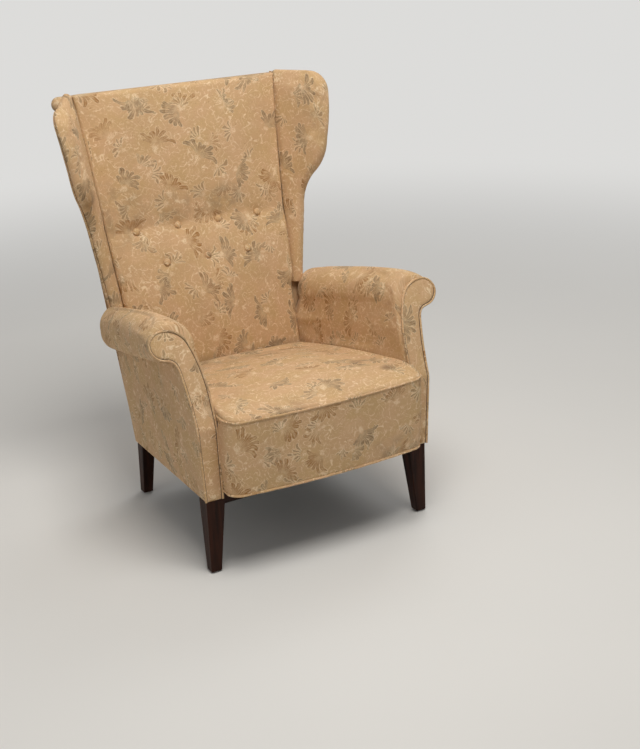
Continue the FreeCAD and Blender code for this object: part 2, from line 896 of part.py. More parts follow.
wing_body = make_wing_body()
roll_room = make_roll(soft_gap)
wing_body = wing_body.cut(roll_room).cut(stile_room).cut(top_roll_room)
wing_body = wing_body.common(before_back(back_panel_thick + soft_gap))
wing_normal = (root_end - root_start).cross(forward)
ahead = wing_normal.cross(root_end - root_start)
pad_root = half_space(wing_point(wing_root_low_z, hard_gap, 0.0), ahead)
outer_half = half_space(wing_point(wing_root_low_z, 0.0, wing_seam + hard_gap), wing_normal)
inner_half = half_space(wing_point(wing_root_low_z, 0.0, wing_seam), wing_normal * -1)
wing_board = make_wing_board().cut(stile_room).cut(roll_room).cut(top_roll_room).common(pad_root)
wing_board = largest(wing_board.common(before_back(back_panel_thick + soft_gap)).cut(back_sheets_room))
wing_pad = wing_body.common(inner_half).common(pad_root).cut(wing_board).cut(back_sheets_room)
both_sides("wing_board", wing_board)
both_sides("wing_pad", largest(wing_pad))
both_sides("outside_wing_panel", largest(wing_body.common(outer_half)))


# Back: padding in two lofts that meet in the button crease
wing_inside = plane_through(
    wing_point(wing_root_low_z, 0.0, inner_offset(1.0)(0.0)),
    wing_point(wing_root_top_z, 0.0, inner_offset(1.0)(0.0)),
    wing_point(wing_root_low_z, wing_belly[1], inner_offset(1.0)(wing_belly[1])),
)


def pad_back_y(z):
    return stile_front(z) - back_web_thick - back_hessian_thick - 3 * soft_gap


def pad_side(y, z):
    """Half width of the back padding, between the arms below and the wings above."""
    if z < wing_bottom_z:
        return inside(y, z) - soft_gap
    return wing_inside(y, z) - soft_gap


def back_pad_wire(z, front_y, crown):
    rear_y = pad_back_y(z)
    room = rear_y - front_y
    crown = min(crown, 0.55 * room)
    round_off = min(back_corner, 0.3 * room)
    side_y = front_y + crown + round_off
    rear = pad_side(rear_y, z)
    side = pad_side(side_y, z)
    p = [V(rear, rear_y, z), V(side, side_y, z),
         V(side - 0.3 * round_off, front_y + crown + 0.3 * round_off, z),
         V(side - round_off, front_y + crown, z), V(0, front_y, z)]
    q = [V(-a.x, a.y, a.z) for a in p]
    return Part.Wire([line(p[0], p[1]), arc(p[1], p[2], p[3]), arc(p[3], p[4], q[3]),
                      arc(q[3], q[2], q[1]), line(q[1], q[0]), line(q[0], p[0])])


def make_back_pad():
    crease = (button_crease_z, button_crease_y, crease_crown)
    lower = [back_pad_wire(*row) for row in back_lumbar + (crease,)]
    upper = [back_pad_wire(*row) for row in (crease,) + back_upper]
    return Part.makeLoft(lower, True, False).fuse(Part.makeLoft(upper, True, False)).removeSplitter()


def button_places():
    """Places and outward directions of the covered buttons."""
    lean = math.radians(button_lean_angle)
    normal = V(0, -math.cos(lean), math.sin(lean))
    rows = ((upper_buttons, button_crease_z, button_crease_y),
            (lower_buttons, lower_button_z, lower_button_y))
    return [(V((i - (count - 1) / 2.0) * button_pitch, y, z), normal)
            for count, z, y in rows for i in range(count)]


def make_button(place, normal):
    sag = tuft_radius - math.sqrt(tuft_radius ** 2 - button_radius ** 2)
    base = place - normal * (tuft_depth - sag - soft_gap)
    dome = (button_radius ** 2 + button_height ** 2) / (2.0 * button_height)
    ball = Part.makeSphere(dome, base + normal * (button_height - dome))
    return ball.common(half_space(base, normal))


back_pad = make_back_pad()
for place, normal in button_places():
    back_pad = back_pad.cut(Part.makeSphere(tuft_radius, place + normal * (tuft_radius - tuft_depth)))
arm_side = wide(shifted(inside, -soft_gap), timber_out).common(below_rolls(0.0))
wing_rear = back_y(wing_top_z)
wing_side = between([(base_rear_y, wing_bottom_z), (wing_rear, wing_bottom_z),
                     (wing_rear, wing_top_z), (base_rear_y, wing_top_z)],
                    shifted(wing_inside, -soft_gap), lambda y, z: HUGE)
for room in (roll_room, arm_side, wing_side):
    back_pad = back_pad.cut(room).cut(mirrored(room))
parts["back_pad"] = largest(back_pad.cut(top_roll_room))
parts["back_buttons"] = group([make_button(*place) for place in button_places()])

# Back webbing, hessian, outside panel and top roll
webs = []
for i in range(back_webs):
    z0 = back_web_low_z + i * back_web_pitch
    z1 = z0 + web_width
    a, b = stile_front(z0) - soft_gap, stile_front(z1) - soft_gap
    side = [(a - back_web_thick, z0), (a, z0), (b, z1), (b - back_web_thick, z1)]
    middle = shifted(stile_inside, stile_width / 2.0)
    webs.append(between(side, minus(middle), middle))
parts["back_webbing"] = group(webs).cut(arm_rail_room).cut(mirrored(arm_rail_room))
hessian_rear = back_web_thick + 2 * soft_gap
hessian = back_sheet(back_pad_low_z, stile_top_z, hessian_rear + back_hessian_thick, hessian_rear,
                     shifted(stile_inside, stile_width / 3.0))
parts["back_hessian"] = hessian.cut(arm_rail_room).cut(mirrored(arm_rail_room))


def back_panel_half(y, z):
    low = outside(base_rear_y, base_rear_z) - side_panel_thick
    return low + (back_panel_top_half - low) * (z - base_rear_z) / (back_panel_top_z - base_rear_z)


panel_rear = -stile_depth - hard_gap - back_panel_thick
parts["outside_back_panel"] = back_sheet(base_rear_z, back_panel_top_z, -stile_depth - hard_gap, panel_rear,
                                         back_panel_half)


parts["outside_back_panel"] = largest(parts["outside_back_panel"].cut(top_roll_room))
parts["top_roll"] = make_top_roll(0.0)

# Seat suspension: webbing, springs, hessian and the dust cover under them
seat_webs = []
web_front = front_rail_back + hard_gap
web_rear = stile_front(base_rear_z) + web_rear_hold
for i in range(webs_long):
    x = (i - (webs_long - 1) / 2.0) * web_side_pitch
    low = [(web_front, base_z(web_front) + web_level), (web_rear, base_z(web_rear) + web_level)]
    up = base_z(web_front) + web_level + web_turn_up
    side = [low[0], low[1], (web_rear, low[1][1] + web_thick),
            (web_front + web_thick, base_z(web_front + web_thick) + web_level + web_thick),
            (web_front + web_thick, up), (web_front, up)]
    strap = across(side, web_width / 2.0)
    strap.translate(V(x, 0, 0))
    seat_webs.append(strap)
for i in range(webs_cross):
    y0 = spring_front_y - web_width / 2.0 + i * spring_row_pitch
    y1 = y0 + web_width
    side = [(y0, base_z(y0) + cross_level), (y1, base_z(y1) + cross_level),
            (y1, base_z(y1) + cross_level + web_thick), (y0, base_z(y0) + cross_level + web_thick)]
    middle = shifted(timber_in, side_timber / 2.0)
    seat_webs.append(between(side, minus(middle), middle))
parts["seat_webbing"] = group(seat_webs)


def biarc(start, start_way, end, end_way):
    """Two arcs that leave start and reach end along the given unit directions."""
    step = end - start
    ways = start_way + end_way
    rest = 4.0 - ways.dot(ways)
    reach = (math.sqrt(step.dot(ways) ** 2 + rest * step.dot(step)) - step.dot(ways)) / rest
    near, far = start + start_way * reach, end - end_way * reach
    middle = (near + far) * 0.5
    edges = []
    for a, corner, b in ((start, near, middle), (middle, far, end)):
        chord = (a + b) * 0.5
        half_turn = (corner - a).getAngle(b - corner) / 2.0
        rise = reach / math.tan(half_turn) * (1.0 - math.cos(half_turn))
        up = corner - chord
        up.normalize()
        edges.append(arc(a, chord + up * rise, b))
    return edges


def coil_place(turn, y_middle):
    """Point of an hourglass coil that stands on the sloping webs and ends under the hessian."""
    share = turn / spring_turns
    radius = spring_waist_radius + (spring_end_radius - spring_waist_radius) * (2.0 * share - 1.0) ** 2
    angle = 2.0 * math.pi * turn
    y = y_middle + radius * math.sin(angle)
    low = base_z(y) + cross_level + web_thick + spring_wire + soft_gap
    high = pad_under_z(y) - hessian_thick - spring_wire - 2 * soft_gap
    return V(radius * math.cos(angle), y, low + (high - low) * share)


def coil_way(turn, y_middle):
    step = 0.001
    way = coil_place(turn + step, y_middle) - coil_place(turn - step, y_middle)
    way.normalize()
    return way


def make_spring(x, y):
    edges = []
    for i in range(2 * spring_turns):
        a, b = i / 2.0, (i + 1) / 2.0
        edges += biarc(coil_place(a, y), coil_way(a, y), coil_place(b, y), coil_way(b, y))
    coil = tube(Part.Wire(edges), spring_wire)
    coil.translate(V(x, 0, 0))
    return coil


springs = []
for row in range(spring_rows):
    for column in range(spring_columns):
        x = (column - (spring_columns - 1) / 2.0) * spring_side_pitch
        springs.append(make_spring(x, spring_front_y + row * spring_row_pitch))
parts["seat_springs"] = group(springs)


def make_seat_hessian():
    y0, y1 = stuffing_back + cloth_margin, seat_rear_y - cloth_margin
    side = [(y0, pad_under_z(y0) - soft_gap - hessian_thick),
            (y1, pad_under_z(y1) - soft_gap - hessian_thick),
            (y1, pad_under_z(y1) - soft_gap), (y0, pad_under_z(y0) - soft_gap)]
    half = shifted(inside, -cloth_margin)
    return between(side, minus(half), half)


parts["seat_hessian"] = make_seat_hessian()


def make_dust_cover():
    y0, y1 = front_rail_back + hard_gap, stile_front(base_rear_z) + dust_cover_hold
    side = [(y0, base_z(y0)), (y1, base_z(y1)),
            (y1, base_z(y1) + dust_cover_thick), (y0, base_z(y0) + dust_cover_thick)]
    half = shifted(timber_in, dust_cover_hold)
    sheet = between(side, minus(half), half)
    for top in (front_top, rear_top):
        room = leg_room(top, leg_margin)
        sheet = sheet.cut(room).cut(mirrored(room))
    return sheet.cut(parts["right_front_post"]).cut(parts["left_front_post"])


parts["dust_cover"] = largest(make_dust_cover())


def make_tacks():
    """Tack heads along the sides and the rear of the dust cover."""
    y0, y1 = front_top[3] + leg_margin + 2 * tack_radius, rear_top[2] - leg_margin - 2 * tack_radius
    places = []
    for i in range(tacks_side):
        y = y0 + i * (y1 - y0) / (tacks_side - 1)
        x = timber_in(y, base_z(y)) + tack_inset
        places += [(x, y), (-x, y)]
    y = stile_front(base_rear_z) + tack_inset
    x = rear_top[0] - leg_margin - 2 * tack_radius
    places += [(x - 2 * x * i / (tacks_rear - 1), y) for i in range(tacks_rear)]
    fall = V(0, base_z(1.0) - base_z(0.0), 0)
    down = V(0, fall.y, -1.0)
    down.normalize()
    return group([Part.makeCylinder(tack_radius, tack_height, V(x, y, base_z(y)), down) for x, y in places])


parts["dust_cover_tacks"] = make_tacks()


if __name__ == "__main__":
    os.makedirs("parts", exist_ok=True)
    for name, shape in parts.items():
        piece = shape.Solids[0] if len(shape.Solids) == 1 else shape
        piece.exportStep("parts/" + name + ".step")
        print(name, piece.isValid(), len(piece.Solids), round(piece.Volume / 1000.0, 1))
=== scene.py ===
"""Looks of a wing easy chair: tight floral upholstery, welts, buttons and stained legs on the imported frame."""

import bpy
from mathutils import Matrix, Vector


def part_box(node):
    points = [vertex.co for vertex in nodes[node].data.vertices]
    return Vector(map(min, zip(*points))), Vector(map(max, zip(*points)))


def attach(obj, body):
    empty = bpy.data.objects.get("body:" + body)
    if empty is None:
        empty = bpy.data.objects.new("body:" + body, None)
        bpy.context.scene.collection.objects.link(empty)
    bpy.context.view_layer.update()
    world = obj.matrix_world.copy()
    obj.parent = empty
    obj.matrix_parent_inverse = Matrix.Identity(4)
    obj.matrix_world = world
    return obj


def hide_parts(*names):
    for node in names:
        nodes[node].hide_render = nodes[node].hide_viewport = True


bl_info = {
    "name": "Wing Easy Chair",
    "version": (1, 0, 0),
    "blender": (4, 5, 0),
    "location": "3D View > Sidebar > Chair",
    "description": "Upholsters the chair frame with buttoned, welted floral cloth",
    "category": "Object",
}

import math
from collections import namedtuple

import bmesh
import bpy
import numpy as np
from bpy.props import FloatProperty, FloatVectorProperty, IntProperty, PointerProperty
from mathutils import Matrix, Vector

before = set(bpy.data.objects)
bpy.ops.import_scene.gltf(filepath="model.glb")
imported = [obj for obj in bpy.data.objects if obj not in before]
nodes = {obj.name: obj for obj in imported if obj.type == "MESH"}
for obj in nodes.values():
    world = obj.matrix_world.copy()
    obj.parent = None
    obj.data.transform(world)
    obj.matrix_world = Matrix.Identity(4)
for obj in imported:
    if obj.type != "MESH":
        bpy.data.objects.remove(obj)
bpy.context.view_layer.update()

MM = 0.001
SIDES = ((1, "right"), (-1, "left"))


def cad_box(name):
    """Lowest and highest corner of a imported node, in millimetres."""
    return [np.array(corner) * 1000.0 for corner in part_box(name)]


# The chair's lines, in millimetres. The chair faces -Y.
def slope(degrees):
    return math.tan(math.radians(degrees))


FRONT_Y = -334.0
FRONT_LOW_Z, REAR_LOW_Z = 187.0, 147.0
KNEE_Z = 368.0
BASE_SLOPE = -0.0749
BACK_LEAN, FACING_LEAN, ARM_FALL = slope(13.2), slope(20.6), slope(13.4)


def base_z(y):
    """Underside of the seat's frame."""
    return FRONT_LOW_Z + BASE_SLOPE * (y - FRONT_Y)


def back_y(z):
    """Rear face of the back."""
    return 200.0 + BACK_LEAN * (z - REAR_LOW_Z)


def stile_front(z):
    """Front of the back's uprights."""
    return back_y(z) - 30.3


def stile_outside(z):
    """Outer side of the back's uprights."""
    return 263.7 + 28.9 * (z - REAR_LOW_Z) / 850.5


def under_roll_z(y):
    """Where the outside panel ends under the arm's roll."""
    return 519.0 - ARM_FALL * (y + 261.0)


def facing_front(z):
    """Front of the arms' facings, upright up to the knee."""
    return FRONT_Y + FACING_LEAN * np.maximum(0.0, z - KNEE_Z)


def outside_x(y, z):
    """Outside of the arms below their rolls."""
    return 306.0 + 0.0442 * (z - FRONT_LOW_Z) - 0.06785 * (y - FRONT_Y)


def inside_x(y, z):
    """Inside of the arms, beside the seat."""
    return 263.0 + 0.0145 * (z - FRONT_LOW_Z) - 0.0499 * (y - FRONT_Y)


# The wings flare from a root line beside the back.
FLARE = math.radians(30.0)
AHEAD = np.array([math.sin(FLARE), -math.cos(FLARE), 0.0])
AWAY = np.array([math.cos(FLARE), math.sin(FLARE), 0.0])
WING_REACH, WING_CURL, WING_INSIDE = 155.0, 14.0, 12.0
ROOT_LOW = np.array([stile_outside(520.0) - 25.4, stile_front(520.0) + 13.8, 520.0])
ROOT_TOP = np.array([stile_outside(1020.0) - 0.4, stile_front(1020.0) - 0.5, 1020.0])


def wing_root(z):
    t = (np.asarray(z, float) - ROOT_LOW[2]) / (ROOT_TOP[2] - ROOT_LOW[2])
    return ROOT_LOW + (ROOT_TOP - ROOT_LOW) * t[..., None]


def wing_inside_x(y, z):
    """Inner face of the wings, a plane through their roots."""
    a, b = ROOT_LOW - WING_INSIDE * AWAY, ROOT_TOP - WING_INSIDE * AWAY
    n = np.cross(b - a, AHEAD * WING_REACH - AWAY * WING_CURL)
    return a[0] - (n[1] * (y - a[1]) + n[2] * (z - a[2])) / n[0]


def ease(value, low, high):
    t = np.clip((value - low) / (high - low), 0.0, 1.0)
    return t * t * (3.0 - 2.0 * t)


def smooth_curve(table, x):
    """Smooth curve through table rows (x, value...), read at x."""
    table = np.array(table, float)
    xs, ys = table[:, 0], table[:, 1:]
    slopes = np.gradient(ys, xs, axis=0)
    x = np.clip(np.asarray(x, float), xs[0], xs[-1])
    i = np.clip(np.searchsorted(xs, x, side="right") - 1, 0, len(xs) - 2)
    h = (xs[i + 1] - xs[i])[..., None]
    t = (x[..., None] - xs[i][..., None]) / h
    return ((2 * t**3 - 3 * t**2 + 1) * ys[i] + (t**3 - 2 * t**2 + t) * h * slopes[i]
            + (3 * t**2 - 2 * t**3) * ys[i + 1] + (t**3 - t**2) * h * slopes[i + 1])


def arc_through(a, b, c, t):
    """Points at shares t along the circle arc from a through b to c; a, b, c may be arrays of points."""
    a, b, c = (np.asarray(p, float) for p in (a, b, c))
    ax, ay, bx, by, cx, cy = a[..., 0], a[..., 1], b[..., 0], b[..., 1], c[..., 0], c[..., 1]
    d = 2 * (ax * (by - cy) + bx * (cy - ay) + cx * (ay - by))
    ux = ((ax**2 + ay**2) * (by - cy) + (bx**2 + by**2) * (cy - ay) + (cx**2 + cy**2) * (ay - by)) / d
    uy = ((ax**2 + ay**2) * (cx - bx) + (bx**2 + by**2) * (ax - cx) + (cx**2 + cy**2) * (bx - ax)) / d
    radius = np.hypot(ax - ux, ay - uy)
    start, mid, end = (np.arctan2(p[..., 1] - uy, p[..., 0] - ux) for p in (a, b, c))
    turn = (end - start) % (2 * np.pi)
    turn = np.where((mid - start) % (2 * np.pi) <= turn, turn, turn - 2 * np.pi)
    angle = start + turn * t
    return np.stack([ux + radius * np.cos(angle), uy + radius * np.sin(angle)], -1)


def run_length(points):
    """Distance along rows of points, as one number per row."""
    return np.r_[0.0, np.cumsum(np.linalg.norm(np.diff(points, axis=0), axis=1))]


def even(points, count):
    """count points spaced evenly along a line of points."""
    points = np.asarray(points, float)
    step = run_length(points)
    at = np.linspace(0.0, step[-1], count)
    return np.stack([np.interp(at, step, points[:, k]) for k in range(points.shape[1])], 1)


def bent_line(straight, *arcs):
    """Points along a straight line and the circle arcs that follow it."""
    t = np.linspace(0, 1, 24)
    return np.concatenate([np.linspace(*straight, 40), *(arc_through(*arc, t)[1:] for arc in arcs)])


def each_pair(row, column):
    """Grid of pairs from one number per column and one per row."""
    return np.stack(np.broadcast_arrays(row, column[:, None]), -1)


# Meshes
def skin(name, points, cloth, wrap=False, ends=False):
    """Object from a grid of points in millimetres. cloth gives each point's place on the flat cloth.
    wrap joins the last column to the first, and cloth then has one column more."""
    rows, cols = points.shape[:2]
    across = cols if wrap else cols - 1
    faces, corners = [], []
    for i in range(rows - 1):
        for j in range(across):
            k = (j + 1) % cols
            faces.append((i * cols + j, i * cols + k, (i + 1) * cols + k, (i + 1) * cols + j))
            corners += [cloth[i, j], cloth[i, j + 1], cloth[i + 1, j + 1], cloth[i + 1, j]]
    if ends:
        for i, order in ((0, range(cols - 1, -1, -1)), (rows - 1, range(cols))):
            faces.append(tuple(i * cols + j for j in order))
            corners += [cloth[i, j] for j in order]
    mesh = bpy.data.meshes.new(name)
    mesh.from_pydata((points.reshape(-1, 3) * MM).tolist(), [], faces)
    layer = mesh.uv_layers.new(name="cloth")
    layer.data.foreach_set("uv", (np.array(corners) * MM).astype(np.float32).ravel())
    mesh.polygons.foreach_set("use_smooth", [True] * len(faces))
    return placed(name, mesh)


def placed(name, mesh):
    obj = bpy.data.objects.new(name, mesh)
    bpy.context.scene.collection.objects.link(obj)
    return obj


def spots(obj):
    """Vertex places in millimetres."""
    co = np.empty(len(obj.data.vertices) * 3, np.float32)
    obj.data.vertices.foreach_get("co", co)
    return co.reshape(-1, 3).astype(float) / MM


def move_to(obj, points):
    obj.data.vertices.foreach_set("co", (points * MM).astype(np.float32).ravel())
    obj.data.update()


def outward(obj):
    """Turns all faces outwards and joins doubled points."""
    bm = bmesh.new()
    bm.from_mesh(obj.data)
    bmesh.ops.remove_doubles(bm, verts=bm.verts, dist=0.02 * MM)
    bmesh.ops.recalc_face_normals(bm, faces=bm.faces)
    bm.to_mesh(obj.data)
    bm.free()
    return obj


def mirrored(obj, name, cloth_shift):
    """Left-hand copy, with its cloth cut from elsewhere on the roll."""
    mesh = obj.data.copy()
    mesh.transform(Matrix.Scale(-1, 4, (1, 0, 0)))
    mesh.flip_normals()
    uv = np.empty(len(mesh.loops) * 2, np.float32)
    mesh.uv_layers["cloth"].data.foreach_get("uv", uv)
    uv = uv.reshape(-1, 2) + np.array(cloth_shift, np.float32)
    mesh.uv_layers["cloth"].data.foreach_set("uv", uv.ravel())
    return placed(name, mesh)


def swell(obj, held, cap, pressure=None):
    """Fills a padded piece by cloth simulation. held is each vertex's hold from 0 to 1, and cap limits
    the move in millimetres."""
    sizes = bpy.context.scene.chair_sizes
    rest = spots(obj)
    group = obj.vertex_groups.new(name="held")
    for level in np.unique(np.round(held, 2)):
        if level > 0:
            group.add(np.nonzero(np.round(held, 2) == level)[0].tolist(), float(level), "REPLACE")
    cloth = obj.modifiers.new("filling", "CLOTH")
    cloth.settings.quality = 6
    cloth.settings.tension_stiffness = cloth.settings.compression_stiffness = 25
    cloth.settings.bending_stiffness = 2.0
    cloth.settings.use_pressure = True
    cloth.settings.uniform_pressure_force = pressure or sizes.pad_pressure
    cloth.settings.effector_weights.gravity = 0.0
    cloth.settings.vertex_group_mass = "held"
    cloth.collision_settings.use_collision = False
    for number in range(1, sizes.swell_frames + 1):
        bpy.context.scene.frame_set(number)
    done = obj.evaluated_get(bpy.context.evaluated_depsgraph_get())
    co = np.empty(len(done.data.vertices) * 3, np.float32)
    done.data.vertices.foreach_get("co", co)
    step = co.reshape(-1, 3).astype(float) / MM - rest
    length = np.linalg.norm(step, axis=1, keepdims=True)
    step *= np.minimum(1.0, cap / np.maximum(length, 1e-6))
    obj.modifiers.remove(cloth)
    obj.vertex_groups.clear()
    bpy.context.scene.frame_set(1)
    move_to(obj, rest + step)


def crisp(obj):
    """Keeps folds of the cloth sharp in the shading."""
    obj.data.set_sharp_from_angle(angle=math.radians(42))
    return obj


def refine(obj):
    sub = obj.modifiers.new("fine", "SUBSURF")
    sub.levels = sub.render_levels = 1
    return obj


def remeshed(node, name, pitch):
    """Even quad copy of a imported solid, to be padded out."""
    mesh = nodes[node].data.copy()
    obj = placed(name, mesh)
    mod = obj.modifiers.new("even", "REMESH")
    mod.mode, mod.voxel_size = "VOXEL", pitch * MM
    fresh = bpy.data.meshes.new_from_object(obj.evaluated_get(bpy.context.evaluated_depsgraph_get()))
    obj.modifiers.remove(mod)
    obj.data = fresh
    fresh.materials.clear()
    fresh.polygons.foreach_set("use_smooth", [True] * len(fresh.polygons))
    return obj


def relaxed(obj, rounds):
    """Evens out the surface by moving each point towards the middle of its neighbours."""
    points = spots(obj)
    ends = np.empty(len(obj.data.edges) * 2, np.int32)
    obj.data.edges.foreach_get("vertices", ends)
    a, b = ends.reshape(-1, 2).T
    count = np.bincount(np.r_[a, b], minlength=len(points))[:, None]
    for step in (0.5, -0.52) * rounds:
        total = np.zeros_like(points)
        np.add.at(total, a, points[b])
        np.add.at(total, b, points[a])
        points += step * (total / count - points)
    move_to(obj, points)


def cloth_map(obj, place):
    """Sets each corner's place on the flat cloth from its vertex place, in millimetres."""
    flat = place(spots(obj)) * MM
    corner = np.empty(len(obj.data.loops), np.int32)
    obj.data.loops.foreach_get("vertex_index", corner)
    layer = obj.data.uv_layers.get("cloth") or obj.data.uv_layers.new(name="cloth")
    layer.data.foreach_set("uv", flat[corner].astype(np.float32).ravel())


def tube(name, path, radius):
    """Round cord of cloth along a path in millimetres."""
    count = 12
    way = np.gradient(path, axis=0)
    way /= np.linalg.norm(way, axis=1, keepdims=True)
    side = np.cross(way[0], (0.3, 0.2, 0.93))
    rings = []
    for p, w in zip(path, way):
        side = side - w * np.dot(side, w)
        side /= np.linalg.norm(side)
        up = np.cross(w, side)
        turn = np.linspace(0, 2 * np.pi, count, endpoint=False)[:, None]
        rings.append(p + radius * (np.cos(turn) * side + np.sin(turn) * up))
    flat = each_pair(np.linspace(0, 2 * np.pi * radius, count + 1), run_length(path))[..., ::-1]
    return outward(skin(name, np.array(rings), flat, wrap=True, ends=True))


def thick_sheet(name, front, inward, thick, cloth):
    """Closed sheet: front is its shown grid, inward the direction of its thickness."""
    inward = np.asarray(inward, float)
    rows, cols = front.shape[:2]
    edge = np.zeros((rows, cols, 1))
    edge[0], edge[-1], edge[:, 0], edge[:, -1] = 1, 1, 1, 1
    shown = front + inward * 0.35 * np.minimum(thick, 4.8) * edge
    points = np.concatenate([shown, (front + inward * thick)[::-1]], 0)
    obj = skin(name, points, np.concatenate([cloth, cloth[::-1]], 0))
    bm = bmesh.new()
    bm.from_mesh(obj.data)
    bm.verts.ensure_lookup_table()
    layer = bm.loops.layers.uv["cloth"]
    total = 2 * rows

    def wall(quad, flats):
        face = bm.faces.new([bm.verts[k] for k in quad])
        face.smooth = True
        for loop, uv in zip(face.loops, flats):
            loop[layer].uv = uv * MM

    for j in range(cols - 1):
        wall((j, j + 1, (total - 1) * cols + j + 1, (total - 1) * cols + j),
             (cloth[0, j], cloth[0, j + 1], cloth[0, j + 1], cloth[0, j]))
    for i in range(rows - 1):
        for j in (0, cols - 1):
            a, b = i * cols + j, (i + 1) * cols + j
            c, d = (total - 2 - i) * cols + j, (total - 1 - i) * cols + j
            wall((a, b, c, d), (cloth[i, j], cloth[i + 1, j], cloth[i + 1, j], cloth[i, j]))
    bmesh.ops.recalc_face_normals(bm, faces=bm.faces)
    bm.to_mesh(obj.data)
    bm.free()
    return crisp(obj)


def bundled(name, pieces):
    """One object from several alike ones."""
    with bpy.context.temp_override(active_object=pieces[0], selected_editable_objects=pieces):
        bpy.ops.object.join()
    pieces[0].name = pieces[0].data.name = name
    return pieces[0]


# Materials
class Term:
    """A node's output that takes part in sums and products."""

    def __init__(self, net, socket):
        self.net, self.socket = net, socket

    def __add__(self, other):
        return self.net.math("ADD", self, other)

    def __sub__(self, other):
        return self.net.math("SUBTRACT", self, other)

    def __rsub__(self, other):
        return self.net.math("SUBTRACT", other, self)

    def __mul__(self, other):
        return self.net.math("MULTIPLY", self, other)

    def __truediv__(self, other):
        return self.net.math("DIVIDE", self, other)

    def __pow__(self, other):
        return self.net.math("POWER", self, other)

    def __abs__(self):
        return self.net.math("ABSOLUTE", self)


class Net:
    """Adds nodes to one tree and joins them."""

    def __init__(self, tree):
        self.tree = tree

    def feed(self, node, inputs):
        """Links outputs to a node's inputs, and sets constants there."""
        for key, value in inputs.items():
            value = getattr(value, "socket", value)
            if isinstance(value, bpy.types.NodeSocket):
                self.tree.links.new(value, node.inputs[key])
            else:
                node.inputs[key].default_value = value

    def add(self, kind, inputs=None, **settings):
        node = self.tree.nodes.new("ShaderNode" + kind)
        for key, value in settings.items():
            setattr(node, key, value)
        self.feed(node, inputs or {})
        return node

    def out(self, kind, inputs=None, output=0, **settings):
        return Term(self, self.add(kind, inputs, **settings).outputs[output])

    def math(self, operation, *values):
        return self.out("Math", dict(enumerate(values)), operation=operation)

    def most(self, first, *others):
        for value in others:
            first = self.math("MAXIMUM", first, value)
        return first

    def ramp(self, value, low, high, start=0.0, end=1.0):
        inputs = {0: value, 1: low, 2: high, 3: start, 4: end}
        return self.out("MapRange", inputs, interpolation_type="SMOOTHSTEP")

    def mix(self, share, a, b):
        return self.out("Mix", {0: share, 6: a, 7: b}, 2, data_type="RGBA")

    def vector(self, operation, a, b):
        return self.out("VectorMath", {0: a, 1: b}, operation=operation)

    def length(self, vector):
        return self.out("VectorMath", {0: vector}, 1, operation="LENGTH")

    def noise(self, place, scale, detail=2.0, rough=0.5):
        return self.out("TexNoise", {"Vector": place, "Scale": scale, "Detail": detail, "Roughness": rough})

    def split(self, vector):
        return [Term(self, part) for part in self.add("SeparateXYZ", {0: vector}).outputs]

    def join(self, x, y, z=0.0):
        return self.out("CombineXYZ", {0: x, 1: y, 2: z})

    def bump(self, strength, distance, height):
        return self.out("Bump", {"Strength": strength, "Distance": distance, "Height": height})


def material(name):
    made = bpy.data.materials.new(name)
    made.use_nodes = True
    return made, Net(made.node_tree), made.node_tree.nodes["Principled BSDF"]


def rgb(colour):
    return (*colour, 1.0)


Spray = namedtuple("Spray", "leaf outline stripe head tint along")


def sprays(net, place, cell, turn, seed, start, reach, half_width, gap, fan, keep):
    """Flower sprays on a loose brick lattice, in metres. Leaves from start to reach, gap apart, fill the
    angle fan on both sides of a spray's axis; keep is the share of the lattice's places that has one."""
    turned = net.out("VectorRotate", {0: place, "Angle": turn}, rotation_type="Z_AXIS")
    x, y, _ = net.split(net.vector("MULTIPLY", turned, (1 / cell, 1 / cell, 0)))
    row = net.math("FLOOR", y)
    x += row * 0.5
    column = net.math("FLOOR", x)
    number = net.join(column, row, seed)
    dice, throws = net.add("TexWhiteNoise", {"Vector": number}, noise_dimensions="3D").outputs
    dx, dy, dz = net.split(throws)
    qx = (x - column - (dx * 0.22 + 0.39)) * cell
    qy = (y - row - (dy * 0.22 + 0.39)) * cell
    radius = net.length(net.join(qx, qy))
    angle = net.math("ARCTAN2", qy, qx) + dz * (2 * math.pi)
    angle = net.math("WRAP", angle, math.pi, -math.pi)
    home = angle / ((radius / reach) ** 2.0 * 0.60 + 1.0)
    index = net.math("ROUND", home / gap)
    across = abs((home - index * gap) * radius)
    leaf_dice = net.out("TexWhiteNoise", {"Vector": number, "W": index}, noise_dimensions="4D")
    along = (radius - start) / ((leaf_dice * 0.34 + 0.66) * reach - start)
    blunt = net.math("SQRT", net.most(1.0 - net.most(along, 0.0) ** 7.0, 0.0))
    to_edge = across - (along * 0.8 + 0.3) * blunt * half_width
    grown = net.ramp(dice, keep, keep + 0.01, 1.0, 0.0)
    inside = net.ramp(along, 0.0, 0.08) * net.ramp(abs(home), fan + 0.01, fan) * grown
    leaf = inside * net.ramp(to_edge, 0.0003, -0.0005)
    outline = inside * net.ramp(abs(to_edge), 0.0011, 0.0003) * net.ramp(along, 1.12, 1.0)
    stripe = leaf * net.ramp(net.math("SINE", across * (2 * math.pi / 0.0027)), -0.1, 0.7)
    ragged = net.noise(place, 130.0, 2.0) * 0.018 + radius
    head = net.ramp(ragged, start + 0.010, start + 0.003) * grown
    return Spray(leaf, outline, stripe, head, net.ramp(dy, 0.48, 0.52), along)


